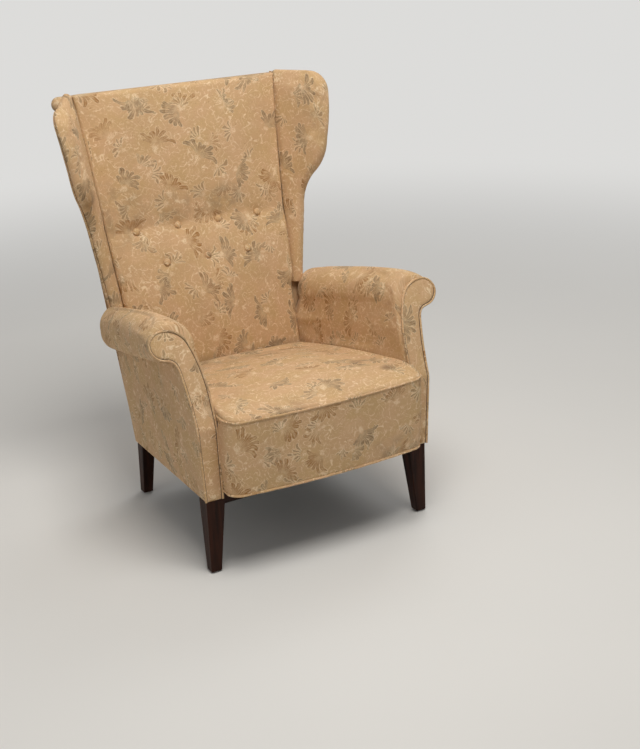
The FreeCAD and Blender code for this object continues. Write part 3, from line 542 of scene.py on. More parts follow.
def damask_group():
    """Floral damask: sprays of leaves round flower heads, wandering vines and flecks on a fine weave."""
    tree = bpy.data.node_groups.new("floral_damask", "ShaderNodeTree")
    face = tree.interface
    face.new_socket(name="Vector", in_out="INPUT", socket_type="NodeSocketVector")
    for name, kind in (("Color", "NodeSocketColor"), ("Height", "NodeSocketFloat"),
                       ("Roughness", "NodeSocketFloat")):
        face.new_socket(name=name, in_out="OUTPUT", socket_type=kind)
    net = Net(tree)
    tones = bpy.context.scene.chair_colours
    taupe, gold, cream = rgb(tones.leaf_taupe), rgb(tones.leaf_gold), rgb(tones.thread_cream)
    place = tree.nodes.new("NodeGroupInput").outputs[0]

    def drift(scale):
        """Soft shift of the cloth, from -0.5 to 0.5 each way."""
        shift = net.out("TexNoise", {"Vector": place, "Scale": scale, "Detail": 1.0}, 1)
        return net.vector("SUBTRACT", shift, (0.5, 0.5, 0.5))

    def pushed(spot, way, far):
        return net.vector("ADD", spot, net.vector("MULTIPLY", way, (far, far, 0.0)))

    bent = drift(26.0)
    loose = pushed(pushed(place, bent, 0.022), drift(150.0), 0.0035)

    patch = net.ramp(net.noise(place, 13.0, 3.0), 0.36, 0.66)
    ground = net.mix(patch, rgb(tones.ground_rose), rgb(tones.ground_olive))
    bleached = net.ramp(net.noise(place, 30.0, 3.0), 0.52, 0.72, 0.0, 0.35)
    ground = net.mix(bleached, ground, rgb(tones.ground_light))

    # cell, turn, seed, start, reach, half_width, gap, fan, keep
    big = sprays(net, loose, 0.118, 0.35, 3.0, 0.010, 0.058, 0.0056, 0.25, 0.86, 0.86)
    small = sprays(net, loose, 0.088, 1.1, 7.0, 0.008, 0.037, 0.0034, 0.34, 0.92, 0.70)
    third = sprays(net, loose, 0.104, 2.3, 11.0, 0.008, 0.046, 0.0046, 0.30, 0.80, 0.68)

    worn = net.ramp(net.noise(place, 62.0, 3.0), 0.30, 0.62, 0.35, 1.0)
    colour = net.mix(small.leaf * 0.50, ground, taupe)
    colour = net.mix(small.outline * 0.50, colour, cream)
    for spray, strength in ((third, 0.75), (big, 0.95)):
        shade = net.ramp(spray.along, 0.0, 0.9, 0.45, strength) * worn
        colour = net.mix(shade * spray.leaf, colour, net.mix(spray.tint, taupe, gold))
    pale = net.most(big.outline * 0.62, big.stripe * 0.30, third.outline * 0.50, third.stripe * 0.25)
    pale *= net.ramp(net.noise(place, 95.0, 2.0), 0.34, 0.56, 0.35, 1.0)

    wander = pushed(place, bent, 0.03)
    vine = net.ramp(abs(net.noise(wander, 24.0, 1.5) - 0.5), 0.014, 0.004)
    twig = net.ramp(abs(net.noise(wander, 51.0, 1.5) - 0.52), 0.022, 0.006, 0.0, 0.65)
    broken = net.ramp(net.noise(place, 120.0, 2.0), 0.36, 0.56)
    vines = net.most(vine, twig) * (1.0 - big.leaf) * broken * 0.72

    loops = net.out("TexVoronoi", {"Vector": loose, "Scale": 230.0, "Randomness": 0.9}, voronoi_dimensions="2D")
    ring = net.ramp(abs(loops - 0.42), 0.20, 0.05)
    heads = net.most(big.head, third.head * 0.8, small.head * 0.8) * (ring * 0.72 + 0.22)
    fleck = net.ramp(net.noise(place, 210.0, 1.0), 0.64, 0.71, 0.0, 0.35)
    pale = net.most(pale, vines, heads, fleck)
    colour = net.mix(pale, colour, cream)
    speck = net.ramp(net.noise(place, 150.0, 1.0), 0.30, 0.25, 0.0, 0.4)
    colour = net.mix(speck, colour, gold)

    x, y, _ = net.split(place)
    pitch = bpy.context.scene.chair_sizes.thread_pitch
    weave = net.math("SINE", x * (2 * math.pi / pitch)) * net.math("SINE", y * (2 * math.pi / (1.3 * pitch)))
    slub = net.noise(net.vector("MULTIPLY", place, (1.0, 0.18, 1.0)), 900.0, 2.0)
    shade = weave * 0.045 + 1.0 + (slub * 0.22 - 0.11)
    colour = net.vector("MULTIPLY", colour, net.join(shade, shade, shade))
    height = pale * 0.9 + big.leaf * 0.7 + (weave * 0.28 + slub)
    gloss = big.leaf * -0.14 + 0.86
    net.feed(tree.nodes.new("NodeGroupOutput"), {0: colour, 1: height, 2: gloss})
    return tree


def damask(name, shift, marks=()):
    """Upholstery cloth. shift is where it is cut from the roll; marks are soiled places and patches of painted
    shade: (place, radii, strength, colour) in metres."""
    made, net, shader = material(name)
    group = bpy.data.node_groups.get("floral_damask") or damask_group()
    flat = net.out("UVMap", uv_map="cloth")
    cloth = net.add("Group", {0: net.vector("ADD", flat, (*shift, 0.0))}, node_tree=group)
    colour, height, gloss = cloth.outputs
    spot = net.out("NewGeometry")
    blotch = net.ramp(net.noise(spot, 28.0, 4.0, 0.6), 0.40, 0.64) * 0.8 + 0.2
    haze = net.ramp(net.noise(spot, 7.0, 4.0), 0.42, 0.70, 0.0, 0.16)
    colour = net.mix(haze, colour, (0.34, 0.22, 0.11, 1.0))
    for centre, radii, strength, tone in marks:
        away = net.length(net.vector("DIVIDE", net.vector("SUBTRACT", spot, centre), radii))
        colour = net.mix(net.ramp(away, 1.0, 0.25) * blotch * strength, colour, rgb(tone))
    net.feed(shader, {
        "Base Color": colour, "Roughness": gloss, "Normal": net.bump(0.55, 0.0008, height),
        "Sheen Weight": 0.07, "Sheen Roughness": 0.45, "Sheen Tint": (1.0, 0.93, 0.80, 1.0),
        "Specular IOR Level": 0.14,
    })
    return made


def shared_damask(name, shift):
    """Cloth that pieces of several groups are cut from."""
    return bpy.data.materials.get(name) or damask(name, shift)


def wood(name, dark, light, stretch, gloss, coat=0.0):
    """Wood with its grain along the axis where stretch is small."""
    made, net, shader = material(name)
    along = net.vector("MULTIPLY", net.out("TexCoord", output="Object"), stretch)
    streak = net.noise(along, 60.0, 5.0, 0.62)
    band = net.noise(along, 14.0, 2.0)
    pores = net.ramp(net.noise(net.vector("MULTIPLY", along, (3.0, 3.0, 3.0)), 90.0, 2.0), 0.60, 0.70)
    colour = net.mix(net.ramp(streak, 0.32, 0.68), rgb(dark), rgb(light))
    colour = net.mix(net.ramp(band, 0.40, 0.66, 0.0, 0.45), colour, rgb(dark))
    colour = net.mix(pores * 0.5, colour, rgb([0.5 * c for c in dark]))
    net.feed(shader, {
        "Base Color": colour, "Roughness": net.ramp(streak, 0.2, 0.8, gloss + 0.08, gloss - 0.04),
        "Normal": net.bump(0.25, 0.0004, streak - pores), "Specular IOR Level": 0.12,
        "Coat Weight": coat, "Coat Roughness": 0.22,
    })
    return made


def woven(name, dark, light, pitch):
    """Coarse plain weave in three dimensions."""
    made, net, shader = material(name)
    spot = net.out("TexCoord", output="Object")
    x, y, z = (net.math("SINE", way * (2 * math.pi / pitch)) for way in net.split(spot))
    share = (x * y + x * z) * 0.22 + net.noise(spot, 700.0, 3.0)
    colour = net.mix(net.ramp(share, 0.2, 0.8), rgb(dark), rgb(light))
    stain = net.ramp(net.noise(spot, 17.0, 3.0), 0.45, 0.70, 0.0, 0.3)
    net.feed(shader, {
        "Base Color": net.mix(stain, colour, rgb(dark)), "Normal": net.bump(0.7, 0.0007, share),
        "Roughness": 0.9, "Sheen Weight": 0.1,
    })
    return made


def metal(name, tone, rough, worn):
    """Drawn or plated steel with faint wear."""
    made, net, shader = material(name)
    spot = net.out("TexCoord", output="Object")
    film = net.noise(spot, 130.0, 4.0, 0.6)
    scratch = net.noise(net.vector("MULTIPLY", spot, (1.0, 1.0, 9.0)), 420.0, 2.0)
    net.feed(shader, {
        "Base Color": net.mix(net.ramp(film, 0.45, 0.75, 0.0, worn), rgb(tone), (0.16, 0.09, 0.05, 1.0)),
        "Roughness": net.ramp(film, 0.3, 0.7, rough - 0.06, rough + 0.14),
        "Normal": net.bump(0.2, 0.0002, scratch), "Metallic": 1.0,
    })
    return made


def dress(obj, finish, slot_name, *stands_for):
    """Gives a made piece its material and body, and hides the imported parts that it stands for."""
    obj.data.materials.clear()
    obj.data.materials.append(finish)
    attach(obj, "root")
    if stands_for:
        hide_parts(*stands_for)
    return obj


def finish_node(name, finish):
    """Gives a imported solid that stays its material."""
    obj = nodes[name]
    if not obj.material_slots:
        obj.data.materials.append(None)
    for slot in obj.material_slots:
        slot.link = "OBJECT"
        slot.material = finish


# Sizes and colours that a user may change
class ChairSizes(bpy.types.PropertyGroup):
    """Sizes of the upholstery's details."""

    welt_radius: FloatProperty(name="Welt radius", description="Half the thickness of the welt cords",
                               default=0.0027, unit="LENGTH")
    piping_radius: FloatProperty(name="Piping radius", description="Half the thickness of the lower piping",
                                 default=0.003, unit="LENGTH")
    button_radius: FloatProperty(name="Button radius", description="Half the width of the covered buttons",
                                 default=0.010, unit="LENGTH")
    button_height: FloatProperty(name="Button height", description="Height of a button's dome",
                                 default=0.007, unit="LENGTH")
    tuft_depth: FloatProperty(name="Tuft depth", description="How deep the buttons pull the padding in",
                              default=0.008, unit="LENGTH")
    border_belly: FloatProperty(name="Border belly", description="How far the seat's border bows out",
                                default=0.003, unit="LENGTH")
    thread_pitch: FloatProperty(name="Thread pitch", description="Spacing of the cloth's threads",
                                default=0.0011, precision=4, unit="LENGTH")
    edge_ease: FloatProperty(name="Leg edge", description="Rounding of the legs' edges",
                             default=0.0022, unit="LENGTH")
    pad_pressure: FloatProperty(name="Pad pressure", description="Pressure that fills the pads", default=4.0)
    swell_frames: IntProperty(name="Swell frames", description="Steps of the filling simulation", default=20)


class ChairColours(bpy.types.PropertyGroup):
    """Colours of the cloth, the wood and the stage."""

    ground_rose: FloatVectorProperty(name="Ground, rosy", description="Cloth ground in its pinkish patches",
                                     default=(0.640, 0.410, 0.232), subtype="COLOR")
    ground_olive: FloatVectorProperty(name="Ground, olive", description="Cloth ground in its golden patches",
                                      default=(0.605, 0.396, 0.202), subtype="COLOR")
    ground_light: FloatVectorProperty(name="Ground, light", description="Bleached patches of the ground",
                                      default=(0.710, 0.490, 0.285), subtype="COLOR")
    leaf_gold: FloatVectorProperty(name="Leaf gold", description="Golden brown leaves",
                                   default=(0.350, 0.158, 0.042), subtype="COLOR")
    leaf_taupe: FloatVectorProperty(name="Leaf taupe", description="Grey-brown leaves",
                                    default=(0.265, 0.165, 0.084), subtype="COLOR")
    thread_cream: FloatVectorProperty(name="Cream thread", description="Pale threads of flowers and vines",
                                      default=(0.900, 0.720, 0.480), subtype="COLOR")
    stain_dark: FloatVectorProperty(name="Stain, dark", description="Dark streaks of the stained wood",
                                    default=(0.010, 0.0030, 0.0015), subtype="COLOR")
    stain_light: FloatVectorProperty(name="Stain, light", description="Light streaks of the stained wood",
                                     default=(0.042, 0.0110, 0.0042), subtype="COLOR")
    floor: FloatVectorProperty(name="Floor", description="Pale floor under the chair",
                               default=(0.76, 0.755, 0.74), subtype="COLOR")
    far: FloatVectorProperty(name="Distance", description="Pale tone of the far floor and the background",
                             default=(0.72, 0.715, 0.70), subtype="COLOR")


class ChairLights(bpy.types.PropertyGroup):
    """Strengths of the studio lamps."""

    key: FloatProperty(name="Key", description="Large lamp above the front", default=62.0, unit="POWER")
    side: FloatProperty(name="Side", description="Lamp at the chair's left", default=5.0, unit="POWER")
    rear: FloatProperty(name="Rear", description="Lamp behind the chair", default=20.0, unit="POWER")
    sky: FloatProperty(name="Sky", description="Even light from all round", default=0.265)


# Seat
SEAT_END_Y, SEAT_CORNER_Y, SEAT_MIDDLE_Y, SEAT_REAR_Y = -362.0, -402.0, -416.0, 163.0
SEAT_EDGE_Z, BORDER_LOW_Z, BORDER_DRAW = 394.0, 208.5, 12.0


def seat_half(y, z):
    """Half the seat's width between the arms."""
    return inside_x(y, z) - 3.0


def seat_line(z, inset, draw, start_y=None):
    """Plan outline round the seat's front from the right side to the left, as points (x, y)."""
    side = seat_half(SEAT_END_Y, z) - inset
    end = np.array([side, SEAT_END_Y])
    corner = np.array([side - 34.0, SEAT_CORNER_Y + inset + draw])
    mid = np.array([side - 10.2, corner[1] + 0.3 * (SEAT_END_Y - corner[1])])
    bend = arc_through(end, mid, corner, np.linspace(0, 1, 17))
    front = arc_through(corner, (0.0, SEAT_MIDDLE_Y + inset + draw), corner * (-1, 1), np.linspace(0, 1, 81))
    half = np.concatenate([bend[:-1], front, (bend * (-1, 1))[::-1][1:]])
    if start_y is not None:
        start = np.array([seat_half(start_y, z) - inset, start_y])
        half = np.concatenate([[start], half, [start * (-1, 1)]])
    return half


SEAT_CROWN = ((-430, 392, 4), (-392, 403, 6), (-340, 412, 12), (-213, 398, 20), (-76, 376, 22),
              (48, 354, 18), (190, 327, 8))


def seat_top(x, y):
    side, rise = np.moveaxis(smooth_curve(SEAT_CROWN, y), -1, 0)
    return side + rise * (1.0 - (x / 286.0) ** 2)


def make_seat_pad():
    count, rows = 61, 60
    front = even(seat_line(SEAT_EDGE_Z, 0.0, 0.0), count)[::-1]
    share = np.linspace(-1, 1, count)
    rear = np.stack([share * seat_half(SEAT_REAR_Y, 350.0), np.full(count, SEAT_REAR_Y)], 1)
    rings = []
    for t in np.r_[np.linspace(0, 0.94, rows - 8), np.linspace(0.95, 1.0, 8)]:
        plan = rear + (front - rear) * t
        to_front = (1 - t) * 560.0
        to_side = seat_half(plan[:, 1], 380.0) - np.abs(plan[:, 0])
        z = seat_top(plan[:, 0], plan[:, 1])
        z -= 9.0 * (1.0 - np.clip(to_side / 15.0, 0, 1)) ** 2
        lift = np.sqrt(1.0 - (1.0 - min(to_front / 26.0, 1.0)) ** 2)
        z = 394.8 + (z - 394.8) * lift if to_front < 26.0 else z
        top = np.column_stack([plan, z])
        low = np.maximum(z - 52.0, 300.0)[[-1, 0]]
        a, b = top[-1], top[0]
        down = [(a[0], a[1], a[2] - 14), (a[0] - 4, a[1], low[0])]
        up = [(b[0] + 4, b[1], low[1]), (b[0], b[1], b[2] - 14)]
        under = np.linspace(down[-1], up[0], 22)[1:-1]
        rings.append(np.concatenate([top, down, under, up]))
    rings = np.array(rings)
    last = rings[-1].copy()
    last[:, 1] += 5.0
    last[:, 2] -= 8.0
    rings = np.concatenate([rings, last[None]])
    along = run_length(rings[:, count // 2])
    around = np.concatenate([share * 262.0, 262.0 + np.arange(1, rings.shape[1] - count + 2) * 12.0])
    obj = skin("seat_cushion", rings, each_pair(around, along), wrap=True, ends=True)
    held = np.ones(rings.shape[:2])
    held[3:-4, 3:count - 3] = 0.0
    swell(obj, held.ravel(), 7.0)
    points = spots(obj)
    points[:, 2] += 1.3 * np.sin(points[:, 0] / 31.0 + 1.3) * np.cos(points[:, 1] / 43.0) * \
        ease(-points[:, 1], -120, 300) * (points[:, 2] > 370)
    move_to(obj, points)
    return refine(outward(obj))


def make_seat_border():
    belly = bpy.context.scene.chair_sizes.border_belly / MM
    rows = 26
    grid = []
    for t in np.linspace(0, 1, rows):
        z = BORDER_LOW_Z + t * (SEAT_EDGE_Z - 1.0 - BORDER_LOW_Z)
        line = even(seat_line(z, -belly * math.sin(math.pi * t) ** 0.8, BORDER_DRAW * (1 - t), -328.0), 150)
        ripple = 0.5 * np.sin(np.arange(150) / 5.3 + 2 * t) * math.sin(math.pi * t)
        line[:, 1] -= ripple
        grid.append(np.column_stack([line, np.full(150, z)]))
    grid = np.array(grid)
    inward = np.array([0.0, -200.0, 0.0]) - grid
    inward[..., 2] = 0
    inward /= np.linalg.norm(inward, axis=-1, keepdims=True)
    flat = each_pair(run_length(grid[rows // 2]), grid[:, 0, 2])
    return thick_sheet("seat_border_cover", grid, inward, 4.0, flat)


def make_seat_trims():
    sizes = bpy.context.scene.chair_sizes
    made = []
    for name, z, draw, start, radius in (
        ("seat_front_welt", SEAT_EDGE_Z, 0.0, -331.0, sizes.welt_radius),
        ("seat_front_piping", 209.0, BORDER_DRAW, -336.3, sizes.piping_radius),
    ):
        line = even(seat_line(z, 0.0, draw, start), 240)
        wave = 0.25 * np.sin(np.arange(240) / 3.1)
        path = np.column_stack([line, z + wave])
        made.append((name, tube(name + "_cord", path, radius / MM)))
    return made


# Back
BACK_PROFILE = ((318, 165, 12), (400, 172, 20), (480, 186, 28), (560, 210, 26), (620, 238, 18),
                (662, 264, 10), (688, 281, 6), (716, 284.5, 9), (790, 297, 11), (880, 315, 12),
                (970, 334, 11), (1020, 347, 8), (1034, 352, 7))
BUTTONS = [(x, 688.0, 281.0) for x in (-177.0, -59.0, 59.0, 177.0)] + \
          [(x, 607.0, 231.0) for x in (-118.0, 0.0, 118.0)]
BUTTON_WAY = np.array([0.0, -math.cos(math.radians(24.0)), math.sin(math.radians(24.0))])


def back_half(y, z):
    arm = inside_x(y, z) - 0.6
    wing = wing_inside_x(y, z) - 0.8
    return arm + (wing - arm) * ease(z, 470.0, 520.0)


def make_back_pad():
    fronts, curl = 67, ((1038.0, 359.0), (1040.0, 367.0), (1040.0, 376.0))
    levels = np.r_[np.linspace(318, 640, 46), np.linspace(645, 735, 24), np.linspace(742, 1034, 40)]
    rows = [(z, z, None) for z in levels] + [(1034.0, z, y) for z, y in curl]
    rings, centre = [], []
    for z, real_z, real_y in rows:
        share = np.linspace(-1, 1, fronts)
        rear_y = stile_front(z) - 4.1
        y0, crown = smooth_curve(BACK_PROFILE, np.array([z]))[0]
        room = rear_y - y0
        crown = min(crown, 0.55 * room)
        rim = min(16.0, 0.3 * room)
        if real_y is not None:
            rim *= 0.5
            rear_y = max(real_y + 6.0, 381.0)
        shift = 0.0 if real_y is None else real_y - y0
        side_y = y0 + shift + crown * (shift == 0.0) + rim
        side = back_half(side_y, real_z)
        x = share * (side - rim)
        between = 0.5 * (1.0 - np.cos(2 * np.pi * (x - 59.0) / 118.0)) * (np.abs(x) < 190)
        lifted = z - 7.0 * between * math.exp(-((z - 690.0) / 26.0) ** 2)
        y = smooth_curve(BACK_PROFILE, lifted)[:, 0] + shift + crown * share**2 * (shift == 0.0)
        turn = np.linspace(0, np.pi / 2, 6)[1:]
        round_x = side - rim + rim * np.sin(turn)
        round_y = y[-1] + rim * (1 - np.cos(turn))
        wall_y = np.linspace(round_y[-1], rear_y, 4)[1:]
        wall_x = back_half(wall_y, real_z)
        right = np.concatenate([np.c_[round_x, round_y], np.c_[wall_x, wall_y]])
        rear_x = np.linspace(wall_x[-1], -wall_x[-1], 24)[1:-1]
        ring = np.concatenate([np.c_[x, y], right, np.c_[rear_x, np.full(22, wall_y[-1])],
                               (right * (-1, 1))[::-1]])
        rings.append(np.column_stack([ring, np.full(len(ring), real_z)]))
        centre.append((0.0, y[fronts // 2], real_z))
    rings = np.array(rings)
    depth = bpy.context.scene.chair_sizes.tuft_depth / MM
    front = rings[:, :fronts]
    for x, z, y in BUTTONS:
        away = np.linalg.norm(front - (x, y, z), axis=-1)
        pull = depth * np.exp(-((away / 15.0) ** 2)) + 0.25 * depth * np.exp(-away / 30.0)
        turn = np.arctan2(front[..., 2] - z, front[..., 0] - x)
        pleat = 0.9 * np.cos(7 * turn + x) * np.exp(-(((away - 21.0) / 11.0) ** 2))
        front -= BUTTON_WAY * (pull + pleat)[..., None]
    along = run_length(np.array(centre))
    hidden = 250.0 + 6.0 * np.arange(1, rings.shape[1] - fronts + 2)
    girth = np.concatenate([np.linspace(-250, 250, fronts), hidden])
    obj = skin("back_cushion", rings, each_pair(girth, along), wrap=True, ends=True)
    held = np.ones(rings.shape[:2])
    held[3:-7, 2:fronts - 2] = 0.0
    for x, z, y in BUTTONS:
        away = np.linalg.norm(front - (x, y, z), axis=-1)
        held[:, :fronts] = np.maximum(held[:, :fronts], away < 12.0)
    crease = np.exp(-(((front[..., 2] - 691.0) / 9.0) ** 2)) > 0.6
    held[:, :fronts] = np.maximum(held[:, :fronts], 0.5 * crease)
    swell(obj, held.ravel(), 7.0)
    return refine(outward(obj))


def make_buttons():
    sizes = bpy.context.scene.chair_sizes
    radius, height = sizes.button_radius / MM, sizes.button_height / MM
    side = np.array([1.0, 0.0, 0.0])
    up = np.cross(BUTTON_WAY, side)
    rings, flats, made = 11, 28, []
    for number, (x, z, y) in enumerate(BUTTONS):
        base = (x, y, z) - BUTTON_WAY * (sizes.tuft_depth / MM - 1.0)
        grid, cloth = [], []
        for i in range(rings):
            t = i / (rings - 1)
            lean = t * math.radians(118)
            r = radius * math.sin(min(lean, math.pi / 2))
            r *= 1.0 if lean < math.pi / 2 else 1 - 0.16 * (t - 0.76)
            h = height * math.cos(lean) * (1.0 if t < 0.76 else 1.6)
            turn = np.linspace(0, 2 * np.pi, flats, endpoint=False)
            pleat = 1.0 - 0.045 * max(0.0, t - 0.55) * (1 + np.cos(turn * 9 + number))
            grid.append(base + BUTTON_WAY * (h + 0.4) + (r * pleat * np.cos(turn))[:, None] * side
                        + (r * pleat * np.sin(turn))[:, None] * up)
            turn = np.r_[turn, 0]
            cloth.append(np.c_[np.cos(turn), np.sin(turn)] * radius * t * 1.3 + (x * 1.7, z * 1.3))
        made.append(outward(skin("button", np.array(grid), np.array(cloth), wrap=True, ends=True)))
    return refine(bundled("covered_buttons", made))


def make_top_roll():
    half, radius, middle_y, middle_z = 334.0, 20.0, 390.3, 1018.0
    ends = half - radius + radius * np.sin(np.linspace(0, np.pi / 2, 9))
    xs = np.concatenate([-ends[::-1], np.linspace(-half + radius, half - radius, 75)[1:-1], ends])
    rings = []
    turn = np.linspace(0, 2 * np.pi, 32, endpoint=False)
    for x in xs:
        over = max(0.0, abs(x) - (half - radius)) / radius
        r = radius * math.sqrt(max(0.0, 1 - over**2))
        r = max(r, 0.6) + 0.5 * math.sin(x / 37.0) * (over == 0)
        gather = 1 + 0.05 * np.cos(11 * turn) * over
        rings.append(np.c_[np.full(32, x), middle_y + r * gather * np.cos(turn),
                           middle_z + r * gather * np.sin(turn)])
    flat = each_pair(np.linspace(0, 2 * np.pi * radius, 33), xs)[..., ::-1]
    return refine(outward(skin("top_edge_roll", np.array(rings), flat, wrap=True, ends=True)))


def make_outside_back():
    grid = []
    for z in np.linspace(base_z(225.0) - 1.0, 1000.0, 60):
        half = 263.7 + 42.3 * (z - REAR_LOW_Z) / 853.0
        share = np.linspace(-1, 1, 45)
        puff = 1.6 * (1 - share**4) * math.sin(math.pi * min(1.0, (z - 140.0) / 870.0)) ** 0.5
        pull = 0.5 * np.sin(share * 21 + z / 90.0) * np.exp(-((1 - abs(share)) / 0.12))
        grid.append(np.c_[share * half, back_y(z) + puff + pull, np.full(45, z)])
    grid = np.array(grid)
    return thick_sheet("outside_back_cover", grid, (0, -1, 0), 4.0, grid[..., [0, 2]])


# Arms
ROLL = ((-330, 386, 584, 277), (-300, 386, 590, 275), (-210, 381, 604, 265), (-120, 369, 594, 258),
        (-30, 358, 579, 252), (60, 347, 562, 248), (150, 336, 540, 246), (228, 322, 516, 262),
        (266, 304, 491, 279))


def arm_section(y, share, part):
    """Places (x, z) round the arm's cover at y: part 0 to 2 are the roll's arcs, 3 the inside face,
    and 4 to 6 the hidden closing faces."""
    outer, top, inner = np.moveaxis(smooth_curve(ROLL, y), -1, 0)
    low = under_roll_z(y)
    height = top - low
    inset = np.minimum(32.0, 0.5 * (outer - inner))
    crest = inner + 0.56 * (outer - inner)

    def p(x, z):
        return np.stack([x, z], -1)

    under, belly, peak, shoulder = p(outer - inset, low), p(outer, low + 0.5 * height), p(crest, top), \
        p(inner, low + 0.3 * height)
    arcs = (
        arc_through(under, p(outer - 0.3 * inset, low + 0.17 * height), belly, share),
        arc_through(belly, p(outer - 0.26 * (outer - crest), low + 0.83 * height), peak, share),
        arc_through(peak, p(inner + 0.16 * (crest - inner), low + 0.76 * height), shoulder, share),
    )
    seat_z = smooth_curve(SEAT_CROWN, y)[..., 0] - 44.0
    foot = p(inside_x(y, seat_z), seat_z)
    z = shoulder[..., 1] + (seat_z - shoulder[..., 1]) * share
    bow = inside_x(y, z) - 2.2 * np.sin(np.pi * share) ** 0.7
    face = p(inner + (bow - inner) * np.minimum(1.0, share * 3.0), z)
    core = p(outside_x(y, seat_z) - 24.6, seat_z)
    heel = p(outside_x(y, low) - 24.6, low)
    lines = [a + (b - a) * share[..., None] for a, b in ((foot, core), (core, heel), (heel, under))]
    out = np.zeros(y.shape + (2,))
    for number, piece in enumerate(arcs + (face,) + tuple(lines)):
        out[part == number] = piece[part == number]
    return out


def make_arm():
    counts = (7, 14, 16, 26, 2, 4, 4)
    part = np.concatenate([np.full(n, k) for k, n in enumerate(counts)])
    share = np.concatenate([np.arange(n) / n for n in counts])
    rows = np.r_[0.0, 0.004, 0.010, 0.018, np.linspace(0.03, 0.97, 62), 0.985, 1.0]
    cols = len(part)
    y = np.repeat((-320.0 + rows * 586.0)[:, None], cols, 1)
    part, share = np.tile(part, (len(rows), 1)), np.tile(share, (len(rows), 1))
    for _ in range(3):
        section = arm_section(y, share, part)
        front = facing_front(section[..., 1]) + 6.3
        rear = np.minimum(266.0, stile_front(section[..., 1]) + 14.0)
        y = front + rows[:, None] * (rear - front)
    section = arm_section(y, share, part)
    tuck = 7.0 * (1.0 - np.sqrt(1.0 - (1.0 - np.clip(rows / 0.03, 0, 1)) ** 2))[:, None]
    middle = np.stack([np.where(section[..., 1] > 500, 325.0, 285.0), np.minimum(section[..., 1], 560.0)], -1)
    way = middle - section
    way /= np.maximum(np.linalg.norm(way, axis=-1, keepdims=True), 1e-6)
    section = section + way * (tuck * (part < 4))[..., None]
    points = np.stack([section[..., 0], y, section[..., 1]], -1)
    around = np.stack([run_length(row) for row in points])
    around = np.c_[around, around[:, -1] + 8.0]
    flat = np.stack([np.c_[y, y[:, :1]], around], -1)
    obj = skin("right_arm_cover", points, flat, wrap=True, ends=True)
    held = np.ones(part.shape)
    held[4:-5][(part[4:-5] < 4)] = 0.0
    held[:, 0] = 1.0
    low = points[..., 2] < smooth_curve(SEAT_CROWN, y)[..., 0] + 4.0
    held[low] = 1.0
    swell(obj, held.ravel(), 5.0, 3.0)
    return refine(outward(obj))


FACING_OUTER = bent_line(((306, 187.5), (314, 368)), ((314, 368), (317, 436), (326, 508)),
                         ((326, 508), (333, 522), (350, 529)), ((350, 529), (374, 539), (385, 562)))
FACING_INNER = bent_line(((263, 187.5), (266.5, 440)), ((266.5, 440), (274, 503), (290, 556)),
                         ((290, 556), (313, 583), (345, 592)))


def scroll_end(count):
    """Rounded end of the facing's scroll, from the outer line to the inner one."""
    return arc_through((385, 562), (372, 585), (345, 592), np.linspace(0, 1, count))


def make_facing():
    rows, cols = 90, 19
    outer, inner = even(FACING_OUTER, rows), even(FACING_INNER, rows)
    c = np.linspace(0, 1, cols)[:, None]
    flat = [o + (i - o) * c for o, i in zip(outer, inner)]
    chord, bow = flat[-1], scroll_end(cols)
    flat += [chord + (bow - chord) * k for k in np.linspace(0, 1, 8)[1:]]
    flat = np.array(flat)
    across = np.tile(4 * c[:, 0] * (1 - c[:, 0]), (len(flat), 1))
    along = np.minimum(np.arange(len(flat)) / 3.0, np.arange(len(flat))[::-1] / 5.0)
    puff = 2.8 * np.minimum(1.0, across * 1.5) ** 0.6 * np.minimum(1.0, along)[:, None] ** 0.5
    y = facing_front(flat[..., 1]) - puff + 0.8
    points = np.stack([flat[..., 0], y, flat[..., 1]], -1)
    return thick_sheet("right_facing_cover", points, (0, 1, 0), 4.8 + puff[..., None], flat)


def welt_path():
    """Line of the welt, up the facing's inner edge, round the scroll and down the outer edge."""
    line = even(np.concatenate([FACING_INNER, scroll_end(24)[::-1][1:], FACING_OUTER[::-1][1:]]), 330)
    line[:, 1] = np.maximum(line[:, 1], 189.0)
    path = np.c_[line[:, 0], facing_front(line[:, 1]) - 1.2, line[:, 1]]
    for _ in range(12):
        path[1:-1] = 0.5 * path[1:-1] + 0.25 * (path[:-2] + path[2:])
    return path


def make_facing_welt():
    return tube("right_welt_cord", welt_path(), bpy.context.scene.chair_sizes.welt_radius / MM)


def make_facing_seam_dirt_and_shade():
    """Dark tube beside the welt: painted shade of the seam's fold, together with its dirt."""
    path = welt_path()
    way = np.gradient(path, axis=0)
    inwards = np.c_[way[:, 2], np.zeros(len(way)), -way[:, 0]]
    inwards /= np.linalg.norm(inwards, axis=1)[:, None]
    away = bpy.context.scene.chair_sizes.welt_radius / MM + 0.35
    return tube("right_facing_seam", path + inwards * away + (0, 0.3, 0), 0.75)


def make_border_seam_shade():
    """Dark tube where the facing meets the seat's border: painted shade of the gap between them."""
    z = np.linspace(196.0, 384.0, 40)
    path = np.c_[np.interp(z, FACING_INNER[:, 1], FACING_INNER[:, 0]) - 1.9, np.full(40, -335.6), z]
    return tube("right_border_seam", path, 1.5)


def make_outside_arm():
    rows, cols = 44, 60
    grid = np.zeros((rows, cols, 3))
    for j, s in enumerate(np.linspace(0, 1, cols)):
        for i, t in enumerate(np.linspace(0, 1, rows)):
            y = -327.5 + s * 560.0
            for _ in range(8):
                z = base_z(y) + 0.5 + t * (under_roll_z(y) - 0.9 - base_z(y))
                front = facing_front(z) + 6.0
                y = front + s * (back_y(z) - 4.6 - front)
            puff = 1.8 * (16 * s * (1 - s) * t * (1 - t)) ** 0.5
            flare = np.interp(z, FACING_OUTER[:, 1], FACING_OUTER[:, 0]) - 0.4 - outside_x(front, z)
            grid[i, j] = (outside_x(y, z) + puff - 0.3 + flare * math.exp(-(y - front) / 45.0), y, z)
    return thick_sheet("right_outside_arm", grid, (-1, 0, 0), 3.6, grid[..., [1, 2]])


